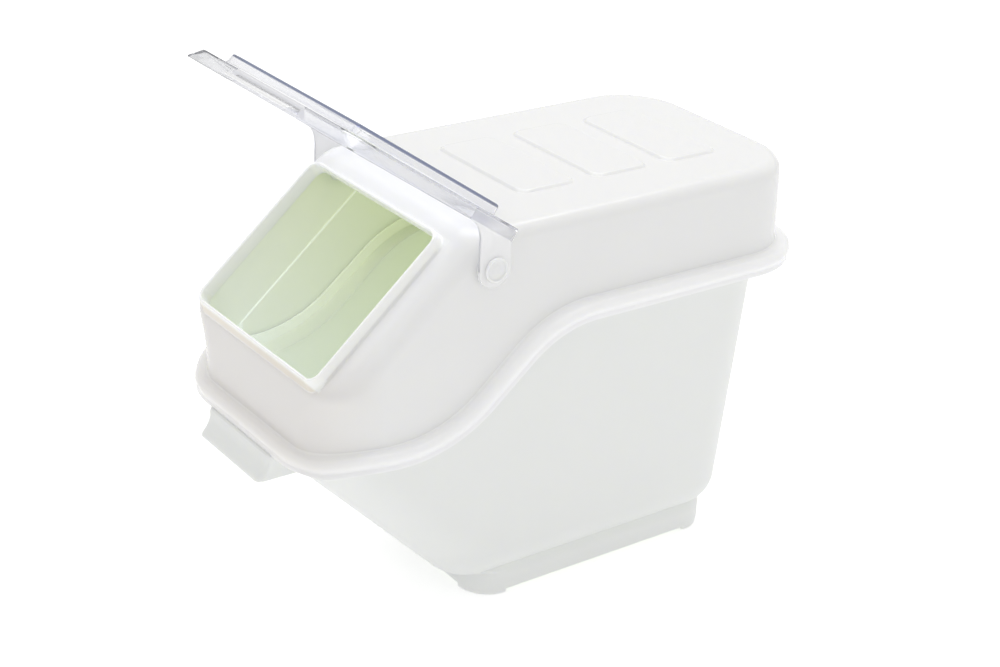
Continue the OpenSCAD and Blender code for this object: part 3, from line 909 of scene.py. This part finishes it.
carve(hood, shell("mouth_tool", [
    collar_ring(-COLLAR_WALL / 2, MOUTH_LOW), collar_ring(-COLLAR_WALL / 2, MOUTH_HIGH),
]))

# ---------------------------------------------------------------- Top pads
# Three shallow flat pads with softly rounded edges, moulded in the hood's top.
# They are one with it, so they are merged into its mesh.
HINGE_BEHIND = 8.5
HINGE_UNDER = 48.5
HINGE = on_slope(COLLAR_L + HINGE_BEHIND, -HINGE_UNDER)
PAD_W = 144.0
PAD_GAP = 19.5
PAD_H = 2.6
PAD_ROUND = 4.6
PAD_R = 13.0
PAD_CORNER_STEPS = 14
PAD_START = HINGE[0] + 76.7
PAD_END = hood_back(TOP_Z) - 64.7
PAD_COUNT = 3
PAD_L = (PAD_END - PAD_START - (PAD_COUNT - 1) * PAD_GAP) / PAD_COUNT
PAD_ROOT = 1.2
PAD_MERGE = 1e-5
# Each level of the rounded edge: how far it steps in and up, as shares of the whole
PAD_LEVELS = ((0.10, 0.05), (0.16, 0.19), (0.20, 0.32), (0.20, 0.26), (0.18, 0.14), (0.16, 0.04))

pads_tree, pads_in, pads_out = geometry_tree("top_pads", {
    "Pad Width": "Float", "Pad Length": "Float", "Pad Height": "Float", "Pad Root": "Float",
    "Corner Radius": "Float", "Edge Rounding": "Float", "Step": "Float", "Count": "Int",
    "Start": "Float", "Top": "Float", "Plastic": "Material",
})
pad_face = rounded_square(
    pads_tree, pads_in["Pad Width"], pads_in["Pad Length"], pads_in["Corner Radius"],
    PAD_CORNER_STEPS,
)
pad_rise = node(pads_tree, "GeometryNodeExtrudeMesh", [
    ("Mesh", pad_face), ("Offset Scale", pads_in["Pad Root"]),
])
pad_under = node(pads_tree, "GeometryNodeFlipFaces", [("Mesh", pad_face)])
pad_geometry = pad_rise.outputs["Mesh"]


def pad_share(pad_in, side):
    """How much of its length or width a pad keeps when it is drawn in."""
    return worked_out(pads_tree, "ADD", worked_out(pads_tree, "DIVIDE", pad_in, side), 1.0)


for step_in, step_up in PAD_LEVELS:
    pad_up = worked_out(pads_tree, "MULTIPLY", pads_in["Pad Height"], step_up)
    pad_in = worked_out(pads_tree, "MULTIPLY", pads_in["Edge Rounding"], -2 * step_in)
    pad_rise = node(pads_tree, "GeometryNodeExtrudeMesh", [
        ("Mesh", pad_geometry), ("Selection", pad_rise.outputs["Top"]), ("Offset Scale", pad_up),
    ])
    pad_factor = node(pads_tree, "ShaderNodeCombineXYZ", [
        ("X", pad_share(pad_in, pads_in["Pad Width"])),
        ("Y", pad_share(pad_in, pads_in["Pad Length"])), ("Z", 1.0),
    ])
    pad_at = node(pads_tree, "GeometryNodeInputPosition")
    pad_drawn = node(
        pads_tree, "ShaderNodeVectorMath",
        [(0, pad_at.outputs[0]), (1, pad_factor.outputs[0])], operation="MULTIPLY",
    )
    pad_moved = node(pads_tree, "GeometryNodeSetPosition", [
        ("Geometry", pad_rise.outputs["Mesh"]), ("Selection", pad_rise.outputs["Top"]),
        ("Position", pad_drawn.outputs[0]),
    ])
    pad_geometry = pad_moved.outputs[0]
pad_closed = node(pads_tree, "GeometryNodeJoinGeometry", [
    (0, pad_geometry), (0, pad_under.outputs[0]),
])
pad_merged = node(pads_tree, "GeometryNodeMergeByDistance", [
    ("Geometry", pad_closed.outputs[0]), ("Distance", PAD_MERGE),
])
pad_step = node(pads_tree, "ShaderNodeCombineXYZ", [("Y", pads_in["Step"])])
pad_from = node(pads_tree, "ShaderNodeCombineXYZ", [
    ("Y", pads_in["Start"]),
    ("Z", worked_out(pads_tree, "SUBTRACT", pads_in["Top"], pads_in["Pad Root"])),
])
pad_line = node(pads_tree, "GeometryNodeMeshLine", [
    ("Count", pads_in["Count"]), ("Start Location", pad_from.outputs[0]),
    ("Offset", pad_step.outputs[0]),
], mode="OFFSET")
pad_set = node(pads_tree, "GeometryNodeInstanceOnPoints", [
    ("Points", pad_line.outputs[0]), ("Instance", pad_merged.outputs[0]),
])
ended(pads_tree, pad_set.outputs[0], pads_in["Plastic"], pads_out)
carve(hood, grown("top_pads", pads_tree, {
    "Pad Width": PAD_W * MM, "Pad Length": PAD_L * MM, "Pad Height": PAD_H * MM,
    "Pad Root": PAD_ROOT * MM, "Corner Radius": PAD_R * MM, "Edge Rounding": PAD_ROUND * MM,
    "Step": (PAD_L + PAD_GAP) * MM, "Count": PAD_COUNT,
    "Start": (PAD_START + PAD_L / 2) * MM, "Top": TOP_Z * MM, "Plastic": hood_plastic,
}), "UNION")

# ---------------------------------------------------------------- Collar
# A plain upstand round the mouth with a rounded lip and a small foot fillet,
# moulded in one with the hood and thin enough for daylight to come through it.
COLLAR_PROFILE = [
    (2.6, -12.9), (2.2, -12.1), (1.2, -11.6), (0.5, -10.8), (0.12, -9.6), (0.0, -8.0),
    (0.0, -4.0), (0.0, -1.5), (-0.2, -0.75), (-0.75, -0.2), (-1.65, 0.0), (-2.55, -0.2),
    (-3.1, -0.75), (-3.3, -1.5), (-3.3, -6.0), (-3.3, -13.6), (-3.1, -14.6), (-2.4, -15.15),
    (-1.6, -15.0), (0.0, -13.4),
]
collar = shell(
    "collar", [collar_ring(out, height) for out, height in COLLAR_PROFILE[::-1]], loop=True
)
collar.data.flip_normals()
carve(hood, coated(collar, hood_plastic), "UNION")

collar_plastic = moulded_plastic(
    "collar_plastic", (0.92, 0.92, 0.905, 1), (0.90, 0.905, 0.885, 1), 0.22, 0.25, 0.1, THIN_THROUGH
)
# Its front face, in the shade of the lip, is warmer
SHADE_TONE = (0.86, 0.815, 0.74, 1)
slope_way = (0, math.cos(SLOPE), math.sin(SLOPE))
collar_front = SLOPE_Y * math.cos(SLOPE) + SLOPE_Z * math.sin(SLOPE)
collar_band = across(
    collar_plastic, slope_way, (collar_front + 0.2) * MM, (collar_front - 1.6) * MM
)
tint(collar_plastic, collar_band, SHADE_TONE)
# Painted light: a faint glow on the collar, on top of the light it lets through
glow(collar_plastic, 0.02, (1.0, 1.0, 0.97, 1))

# ---------------------------------------------------------------- Hinge bosses
# A low round boss at each side of the hood, under each ear of the lid, with a
# small fillet where it leaves the wall. Moulded in one with the hood.
BOSS_FACE = 138.876
BOSS_R = 14.0
BOSS_PROFILE = [
    (132.0, BOSS_R), (134.4, BOSS_R + 1.6), (134.9, BOSS_R + 1.0), (135.4, BOSS_R + 0.5),
    (136.2, BOSS_R + 0.12), (137.2, BOSS_R), (138.2, BOSS_R), (138.65, BOSS_R - 0.15),
    (BOSS_FACE, BOSS_R - 0.6), (BOSS_FACE, BOSS_R - 3.0),
]


def turned(name, profile, side, steps=64):
    """A body turned about the hinge line from [x, radius] points, on one side."""
    angles = np.linspace(0, 2 * math.pi, steps + 1)[:-1]
    made = shell(name, [
        np.stack([
            np.full(steps, side * x), HINGE[0] + r * np.cos(angles), HINGE[1] + r * np.sin(angles),
        ], 1) for x, r in profile
    ])
    if side < 0:
        made.data.flip_normals()
    return made


for side in (-1, 1):
    carve(hood, coated(turned("boss", BOSS_PROFILE, side), hood_plastic), "UNION")

# ---------------------------------------------------------------- Inner lines
# A thin line on each inner wall, parallel to the slope, moulded in one with the
# hood. Its finish glows, a painted highlight.
LINE_START = np.array([-66.0, 382.0])
LINE_END = np.array([-216.0, 246.5])
LINE_STEPS = 24
LINE_SIDES = 12
LINE_DEEP = 1.1
LINE_THICK = 1.3
LINE_SUNK = 0.2


def outward(piece):
    """Turns a closed body's faces outwards, if they look inwards."""
    body = bmesh.new()
    body.from_mesh(piece.data)
    if body.calc_volume(signed=True) < 0:
        piece.data.flip_normals()
    body.free()
    return piece


def inner_line(side):
    run = LINE_END - LINE_START
    away = np.array([-run[1], run[0]]) / np.linalg.norm(run)
    angles = np.linspace(0, 2 * math.pi, LINE_SIDES + 1)[:-1]
    made = []
    for t in np.linspace(0, 1, LINE_STEPS + 1):
        y, z = LINE_START + run * t
        fade = min(1.0, 12 * t, 12 * (1 - t)) ** 0.5
        deep = LINE_DEEP * fade * np.cos(angles)
        thick = LINE_THICK * fade * np.sin(angles)
        x = side * (hood_half(z) - HOOD_WALL + LINE_SUNK - deep)
        made.append(np.stack([x, y + away[0] * thick, z + away[1] * thick], 1))
    return outward(shell("inner_line", made))


for side in (-1, 1):
    carve(hood, coated(inner_line(side), hood_plastic), "UNION")
line_highlight_plastic = lip_plastic.copy()
line_highlight_plastic.name = "line_highlight_plastic"
# Painted highlight: the line's finish glows
glow(line_highlight_plastic, 0.36)

# ---------------------------------------------------------------- Rolled rim
# The hood's lower edge, rolled outwards into a bead that stands clear of the wall
# and lets daylight through. Its finish and the other finishes of the hood go on here.
# Painted light: the rim is given a lighter shade than the hood's wall and a faint glow, so that it
# looks brighter
rim_plastic = moulded_plastic(
    "rim_plastic", (0.95, 0.955, 0.95, 1), (0.93, 0.935, 0.93, 1), 0.20, 0.24, 0.1, 0.002
)
# Painted shade on the rim's front, as on the hood's: warmer and duller
tint(rim_plastic, across(rim_plastic, (0, -1, 0), FRONT_SHADE_FROM, FRONT_SHADE_TO), FRONT_SHADE_TONE)
glow(rim_plastic, 0.07, (1.0, 1.0, 1.0, 1))
coated(hood, inside_plastic, collar_plastic, rim_plastic, line_highlight_plastic)
INSIDE_SLOT, COLLAR_SLOT, RIM_SLOT, LINE_SLOT = range(1, 5)
RIM_UNDER = -2.2
WALL_PLAY = 0.12
INSIDE_PLAY = 0.7
INSIDE_ENDS = (WALL_FRONT + 2.6, WALL_BACK - 2.0)
TOP_PLAY = 2.5
SIDEWAYS = 0.3
DOWNWARDS = -0.5
FACE_PLAY = 0.3
COLLAR_DEPTH = 16.0
LEAN_DEPTH = 11.6
LEAN_REACH = 6.5
LINE_BAND = (0.02, 1.2)
LINE_PAST = 2.0
LINE_HALF_H = 2.2
rim_top = at_seam(RIM_UNDER)


def outside_wall(x, y, z):
    """How far a point stands outside the hood's wall, its round corners included."""
    r = HOOD_FRONT_R if y < 0 else HOOD_BACK_R
    dx = abs(x) - (hood_half(z) - r)
    dy = max(hood_front(z) + r - y, y - (hood_back(z) - r))
    return math.hypot(dx, dy) - r if dx > 0 and dy > 0 else max(dx, dy) - r


def along_slope(y, z):
    """How far up the slope a side view point is from the collar's front."""
    return (y - SLOPE_Y) * math.cos(SLOPE) + (z - SLOPE_Z) * math.sin(SLOPE)


def over_slope(y, z):
    """How far out a side view point is from the plane of the collar's lip."""
    return (z - SLOPE_Z) * math.cos(SLOPE) - (y - SLOPE_Y) * math.sin(SLOPE)


def is_line(x, y, z):
    """Whether a face of the hood is on an inner line."""
    depth = hood_half(z) - HOOD_WALL - abs(x)
    line_z = np.interp(y, [LINE_END[0], LINE_START[0]], [LINE_END[1], LINE_START[1]])
    return (LINE_BAND[0] < depth < LINE_BAND[1] and abs(line_z - z) < LINE_HALF_H
            and LINE_END[0] - LINE_PAST < y < LINE_START[0] + LINE_PAST)


def is_inside(x, y, z, normal):
    """Whether a face of the hood is on its inner skin."""
    facing_in = (normal[0] * x < -SIDEWAYS * abs(x) or normal[1] * y < -SIDEWAYS * abs(y)
                 or normal[2] < DOWNWARDS)
    return (facing_in and abs(x) < hood_half(z) - HOOD_WALL + INSIDE_PLAY
            and INSIDE_ENDS[0] < y < INSIDE_ENDS[1] and z < TOP_Z - TOP_PLAY
            and over_slope(y, z) < -PANEL_DROP - TOP_PLAY)


def is_collar(x, y, z):
    """Whether a face of the hood is on the collar, its leaning front included."""
    along = along_slope(y, z)
    depth = COLLAR_DEPTH if along > -FACE_PLAY else LEAN_DEPTH
    return (abs(x) < COLLAR_HALF + FACE_PLAY and -LEAN_REACH < along < COLLAR_L + FACE_PLAY
            and over_slope(y, z) > -depth)


for face in hood.data.polygons:
    x, y, z = (value / MM for value in face.center)
    if is_line(x, y, z):
        face.material_index = LINE_SLOT
    elif is_inside(x, y, z, face.normal):
        face.material_index = INSIDE_SLOT
    elif is_collar(x, y, z):
        face.material_index = COLLAR_SLOT
    elif z < rim_top(y) and outside_wall(x, y, z) > WALL_PLAY:
        face.material_index = RIM_SLOT


def flat_first(piece):
    """Lets flat faces keep their own normals, so that only the rounded edges shade."""
    modifier = piece.modifiers.new("flat_first", "WEIGHTED_NORMAL")
    modifier.keep_sharp = True
    modifier.weight = 50
    settled(piece)


smooth(hood)
flat_first(hood)
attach(hood, "hood")
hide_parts("hood")

# ---------------------------------------------------------------- Hinge pins
# Two white pins pushed in from the sides, through the lid's ears and the hood's
# bosses. Each has a low raised ring round a bare, slightly sunk middle.
EAR_IN = 139.276
EAR_OUT = 142.076
PIN_END = 126.676
PIN_R = 4.97
HEAD_AT = EAR_OUT + 0.4
PIN_BODY = [
    (PIN_END, 1.0), (PIN_END, 5.3), (127.1, 5.9), (127.8, 6.0), (129.9, 6.0), (130.5, 5.8),
    (130.676, 5.0), (133.0, PIN_R), (138.0, PIN_R), (HEAD_AT, PIN_R),
]
# The head: height over its underside, radius
PIN_HEAD = [
    (0.0, 8.0), (0.0, 11.3), (0.15, 11.75), (0.5, 11.95), (1.2, 12.0), (1.9, 11.95),
    (2.35, 11.7), (2.6, 11.2), (2.6, 10.2), (2.45, 9.75), (1.9, 9.45), (1.65, 9.0),
    (1.6, 8.0), (1.65, 5.2), (1.8, 4.7), (1.95, 4.2), (2.0, 3.0), (2.0, 1.2),
]
pin_profile = PIN_BODY + [(HEAD_AT + up, r) for up, r in PIN_HEAD]
pin_plastic = moulded_plastic(
    "pin_plastic", (0.90, 0.905, 0.905, 1), (0.88, 0.885, 0.885, 1), 0.2, 0.24, 0.15
)
for side, name in ((-1, "hinge_pin_left"), (1, "hinge_pin_right")):
    pin = coated(turned(name + "_body", pin_profile, side, steps=72), pin_plastic)
    smooth(pin, 50)
    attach(pin, "hood")
    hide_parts(name)

# ---------------------------------------------------------------- Flip lid
# One clear moulding: a raised panel, a flange and skirt round it, a lip to lift
# it by, and an ear at each side that turns on a hinge pin.
LID_TRAVEL = math.radians(76)
LID_WALL = 1.8
LID_TOP = 3.0
LID_INSIDE = 0.4
LID_FLANGE = -7.3
LID_UNDER = LID_FLANGE - LID_WALL
LID_SKIRT = -20.3
LID_HALF = 142.076
LID_FRONT = -200.0
LID_BACK = 8.387
LID_PAST_CUT = 14.0
SKIRT_BACK_R = 4.0
PANEL_HALF = 110.829
PANEL_FRONT = -179.7
PANEL_BACK = 5.387
PANEL_R = 6.0
PANEL_LEAST_R = 0.8
LID_RING = columns(24, 16, 20)


def in_lid(points):
    """Moves points from the closed lid's own frame to the open lid on the bin."""
    points = np.asarray(points, float)
    y, z = on_slope(COLLAR_L + points[:, 1], points[:, 2])
    y, z = y - HINGE[0], z - HINGE[1]
    c, s = math.cos(LID_TRAVEL), math.sin(LID_TRAVEL)
    return np.stack([points[:, 0], HINGE[0] + y * c + z * s, HINGE[1] - y * s + z * c], 1)


def lid_ring(half, y0, y1, front_r, back_r, height):
    """One ring of the lid, laid out in the closed lid's frame."""
    x, y = outline(half, y0, y1, front_r, back_r, ring=LID_RING)
    return in_lid(np.stack([x, y, np.full_like(x, height)], 1))


def panel_rings(*rows):
    """Rings of the panel's wall and top, from how far in and how high each is. Its front
    leans as the collar's does."""
    made = []
    for inset, height in rows:
        r = max(PANEL_R - inset, PANEL_LEAST_R)
        front = PANEL_FRONT + inset - COLLAR_LEAN * max(LEAN_START - height, 0.0)
        made.append(lid_ring(PANEL_HALF - inset, front, PANEL_BACK - inset, r, r, height))
    return made


def skirt_rings(*rows):
    """Rings of the skirt, from how far in each is, its front corners' radius and height."""
    return [
        lid_ring(LID_HALF - inset, LID_FRONT + inset, LID_BACK + LID_PAST_CUT, r, SKIRT_BACK_R, height)
        for inset, r, height in rows
    ]


lid_rings = panel_rings(
    (12.0, LID_INSIDE), (3.6, LID_INSIDE), (2.4, LID_INSIDE - 0.2), (1.9, LID_INSIDE - 0.7),
    (LID_WALL, LID_INSIDE - 2.0), (LID_WALL, LID_FLANGE - 0.6), (1.6, LID_FLANGE - 1.3),
    (1.1, LID_FLANGE - 1.7), (0.3, LID_UNDER),
)
lid_rings += skirt_rings(
    (6.0, 23.0, LID_UNDER), (3.4, 24.0, LID_UNDER - 0.1), (2.8, 23.5, LID_UNDER - 0.6),
    (2.5, 21.0, LID_FLANGE - 4.0), (1.9, 4.5, LID_SKIRT + 1.2), (1.6, 3.5, LID_SKIRT + 0.25),
    (1.2, 3.0, LID_SKIRT), (0.5, 3.0, LID_SKIRT), (0.1, 3.2, LID_SKIRT + 0.3),
    (0.0, 3.6, LID_SKIRT + 1.0), (0.1, 5.5, LID_SKIRT + 2.5), (0.5, 22.0, LID_FLANGE - 2.6),
    (0.7, 25.0, LID_FLANGE - 0.8), (1.1, 26.0, LID_FLANGE - 0.15), (1.9, 26.0, LID_FLANGE),
    (5.0, 24.0, LID_FLANGE),
)
lid_rings += panel_rings(
    (-1.2, LID_FLANGE), (-0.5, LID_FLANGE + 0.15), (-0.1, LID_FLANGE + 0.7),
    (0.0, LID_FLANGE + 1.6), (0.0, LID_TOP - 2.6), (0.2, LID_TOP - 1.6), (0.76, LID_TOP - 0.76),
    (1.6, LID_TOP - 0.2), (2.6, LID_TOP), (12.0, LID_TOP),
)
lid = shell("flip_lid_body", lid_rings)

# The back is cut straight, so that it can rest on the hood's top
CUT_HALF = 200
CUT_BACK = 60
CUT_UP = 60
cut_corners = [
    (x, y, z) for x in (-CUT_HALF, CUT_HALF) for y in (LID_BACK, CUT_BACK) for z in (-CUT_UP, CUT_UP)
]
carve(lid, new_piece("back_tool", in_lid(cut_corners) * MM, [
    (0, 1, 3, 2), (4, 6, 7, 5), (0, 4, 5, 1), (2, 3, 7, 6), (0, 2, 6, 4), (1, 5, 7, 3),
]))


def plate(name, side_view, x0, x1, bevel):
    """A flat plate across x from a side view in the closed lid's frame, edges eased."""
    from_middle = side_view - np.mean(side_view, 0)
    reach = np.linalg.norm(from_middle, axis=1)[:, None]
    layers = []
    for x, inset in ((x0, bevel), (x0 + bevel, 0.0), (x1 - bevel, 0.0), (x1, bevel)):
        drawn = side_view - from_middle * inset / reach
        layers.append(in_lid(np.column_stack([np.full(len(drawn), x), drawn])))
    return shell(name, layers)


EAR_R = 18.0
EAR_BLEND_R = 26.0
EAR_BEVEL = 0.35
EAR_SUNK = 0.04
EAR_UNDER = LID_FLANGE - 0.9
EAR_BACK = LID_BACK - 0.5
BORE_R = 5.08
BORE_PAST = 1.0
OPEN_TILT = LID_TRAVEL - SLOPE
ear_front = (HINGE_BEHIND - EAR_R * math.cos(OPEN_TILT), -HINGE_UNDER - EAR_R * math.sin(OPEN_TILT))
ear_l = (LID_SKIRT - ear_front[1]) / math.cos(OPEN_TILT)
ear_meet = ear_front[0] - ear_l * math.sin(OPEN_TILT)
blend_start = ear_meet - EAR_BLEND_R * math.tan((math.pi / 2 - OPEN_TILT) / 2)
ear_view = np.concatenate([
    arc(blend_start, LID_SKIRT - EAR_BLEND_R, EAR_BLEND_R, math.pi / 2, OPEN_TILT, 10),
    arc(HINGE_BEHIND, -HINGE_UNDER, EAR_R, math.pi + OPEN_TILT, 2 * math.pi + OPEN_TILT, 32),
    [(EAR_BACK, LID_SKIRT), (EAR_BACK, EAR_UNDER), (blend_start, EAR_UNDER)],
])
for side in (-1, 1):
    x0, x1 = sorted((side * EAR_IN, side * (EAR_OUT - EAR_SUNK)))
    carve(lid, plate("ear_tool", ear_view, x0, x1, EAR_BEVEL), "UNION")
    bore_ends = (EAR_IN - BORE_PAST, EAR_OUT - EAR_SUNK + BORE_PAST)
    carve(lid, turned("bore_tool", [(x, BORE_R) for x in bore_ends], side, steps=48))

# Lifting lip along the middle of the front skirt
TAB_HALF = 54.0
TAB_BEVEL = 0.8
TAB_VIEW = np.array([
    (-198.9, -13.2), (-204.0, -13.4), (-209.0, -13.9), (-211.3, -14.5), (-212.4, -15.4),
    (-212.5, -16.6), (-211.6, -17.3), (-210.2, -17.2), (-208.6, -16.3), (-206.0, -15.6),
    (-203.0, -15.2), (-198.9, -15.0),
])
carve(lid, plate("lip_tool", TAB_VIEW[::-1], -TAB_HALF, TAB_HALF, TAB_BEVEL), "UNION")

clear_plastic, clear_tree, clear_shader = new_material("clear_plastic")
clear_skin = placed_group(clear_tree, skin_group, Peel_Scale=700.0, Flow_Scale=16.0, Flow_Depth=1.0)
clear_wear = placed_group(clear_tree, wear_group, Patch_Scale=22.0, Hair_Scale=90.0)
clear_gloss = ranged(clear_tree, clear_wear["Rub"], low=0.03, high=0.09)
clear_relief = node(clear_tree, "ShaderNodeBump", [
    ("Strength", 0.12), ("Distance", PEEL_RELIEF), ("Height", clear_skin["Height"]),
])
feed(clear_tree, clear_shader, [
    ("Base Color", (0.90, 0.90, 0.905, 1)), ("Transmission Weight", 1.0), ("Metallic", 0.0),
    ("IOR", 1.5), ("Normal", clear_relief.outputs["Normal"]),
    ("Roughness", worked_out(clear_tree, "MULTIPLY_ADD", clear_wear["Hair"], 0.2, clear_gloss)),
])
# Painted light: a faint bluish glow
glow(clear_plastic, 0.03, (0.88, 0.90, 1.0, 1))
# It lets the lamps' light through, and thick places take on a slate blue
lamp_ray = node(clear_tree, "ShaderNodeLightPath").outputs["Is Shadow Ray"]
lamp_through = node(clear_tree, "ShaderNodeBsdfTransparent", [("Color", (0.93, 0.935, 0.95, 1))])
clear_surface = node(clear_tree, "ShaderNodeMixShader", [
    (0, lamp_ray), (1, clear_shader.outputs[0]), (2, lamp_through.outputs[0]),
])
clear_body = node(clear_tree, "ShaderNodeVolumeAbsorption", [
    ("Color", (0.62, 0.64, 0.8, 1)), ("Density", 1.6),
])
feed(clear_tree, clear_tree.nodes["Material Output"], [
    ("Surface", clear_surface.outputs[0]), ("Volume", clear_body.outputs[0]),
])
# The ears and the tab are the same plastic with a fine frosted skin
frosted_plastic = clear_plastic.copy()
frosted_plastic.name = "frosted_plastic"
frosted_tree = frosted_plastic.node_tree
feed(frosted_tree, frosted_tree.nodes["Principled BSDF"], [
    ("Base Color", (0.95, 0.95, 0.95, 1)), ("Transmission Weight", 0.35),
])
# Painted light: a faint white glow
glow(frosted_plastic, 0.06, (1.0, 1.0, 1.0, 1))
# Painted light: the panel's upper faces glow slate blue, standing in for the slate blue that
# the thicker plastic shows at its edge
slate_glow_plastic = clear_plastic.copy()
slate_glow_plastic.name = "slate_glow_plastic"
glow(slate_glow_plastic, 0.05, (0.60, 0.68, 1.0, 1))
coated(lid, clear_plastic, frosted_plastic, slate_glow_plastic)
CLEAR_SLOT, FROSTED_SLOT, SLATE_SLOT = range(3)
TAB_START = -200.3
TAB_ROOT = LID_FRONT + 2.4
TAB_SIDE = 56.0
EAR_PLAY = 0.2
EAR_REACH = EAR_R + 6
SLATE_FROM = -0.2


def in_shut_lid(y, z):
    """A point of the open lid in the closed lid's own frame: along, and height."""
    y, z = y - HINGE[0], z - HINGE[1]
    c, s = math.cos(LID_TRAVEL), math.sin(LID_TRAVEL)
    shut_y = y * c - z * s + HINGE[0]
    shut_z = y * s + z * c + HINGE[1]
    return along_slope(shut_y, shut_z) - COLLAR_L, over_slope(shut_y, shut_z)


for face in lid.data.polygons:
    x, y, z = (value / MM for value in face.center)
    along, height = in_shut_lid(y, z)
    from_hinge = math.hypot(y - HINGE[0], z - HINGE[1])
    if abs(x) > EAR_IN - EAR_PLAY and from_hinge < EAR_REACH:
        face.material_index = FROSTED_SLOT
    elif along < TAB_START or along < TAB_ROOT and abs(x) < TAB_SIDE:
        face.material_index = FROSTED_SLOT
    elif height > SLATE_FROM:
        face.material_index = SLATE_SLOT
    else:
        face.material_index = CLEAR_SLOT
smooth(lid, 35)
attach(lid, "lid")
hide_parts("flip_lid")

# ---------------------------------------------------------------- Floor, light, camera
# A plain white floor that runs out of sight, soft light from all round, one large
# soft lamp above and a narrow strip lamp in front.
FLOOR_HALF = 30
FLOOR_LEVEL = -0.0005
floor_paint, floor_tree, floor_shader = new_material("floor_paint")
camera_ray = node(floor_tree, "ShaderNodeLightPath").outputs["Is Camera Ray"]
feed(floor_tree, floor_shader, [("Base Color", (0.9, 0.9, 0.9, 1)), ("Roughness", 0.9)])
glow(floor_paint, 0.4, ranged(floor_tree, camera_ray, low=0.55))
floor_sides = ((-1, -1), (1, -1), (1, 1), (-1, 1))
floor = new_piece(
    "floor", [(FLOOR_HALF * x, FLOOR_HALF * y, FLOOR_LEVEL) for x, y in floor_sides], [(0, 1, 2, 3)]
)
coated(floor, floor_paint)

world = bpy.data.worlds.new("studio")
bpy.context.scene.world = world
world.use_nodes = True
sky_tree = world.node_tree
sky_ray = node(sky_tree, "ShaderNodeLightPath").outputs["Is Camera Ray"]
feed(sky_tree, sky_tree.nodes["Background"], [
    ("Color", (1.0, 1.0, 1.0, 1)), ("Strength", ranged(sky_tree, sky_ray, low=0.70)),
])


def lamp(name, place_at, aim, size, power, along=(0, 0, 1)):
    """A flat lamp whose height runs along a direction, as near as its aim allows."""
    data = bpy.data.lights.new(name, "AREA")
    data.shape = "RECTANGLE"
    data.size, data.size_y = size
    data.energy = power
    made = bpy.data.objects.new(name, data)
    back = (Vector(place_at) - Vector(aim)).normalized()
    side = Vector(along).cross(back).normalized()
    turn_to = Matrix((side, back.cross(side), back)).transposed()
    made.matrix_world = Matrix.Translation(place_at) @ turn_to.to_4x4()
    bpy.context.scene.collection.objects.link(made)


lamp("top_lamp", (-0.5, 0.5, 2.6), (0, 0, 0.3), (1.9, 1.9), 23.0)
lamp("strip_lamp", (1.82, -1.21, 1.91), (0.08, -0.22, 0.32), (0.05, 1.5), 1.1,
     along=(0, 0.747, 0.665))

camera_data = bpy.data.cameras.new("camera")
camera_data.sensor_width = 36.0
camera_data.lens = 72.327
camera = bpy.data.objects.new("camera", camera_data)
camera.matrix_world = Matrix((
    (0.58350, -0.37256, 0.72161, 1.45918),
    (0.81065, 0.21389, -0.54507, -1.09156),
    (0.04872, 0.90302, 0.42682, 1.10658),
    (0, 0, 0, 1),
))
bpy.context.scene.collection.objects.link(camera)
bpy.context.scene.camera = camera
bpy.context.scene.view_settings.view_transform = "Standard"
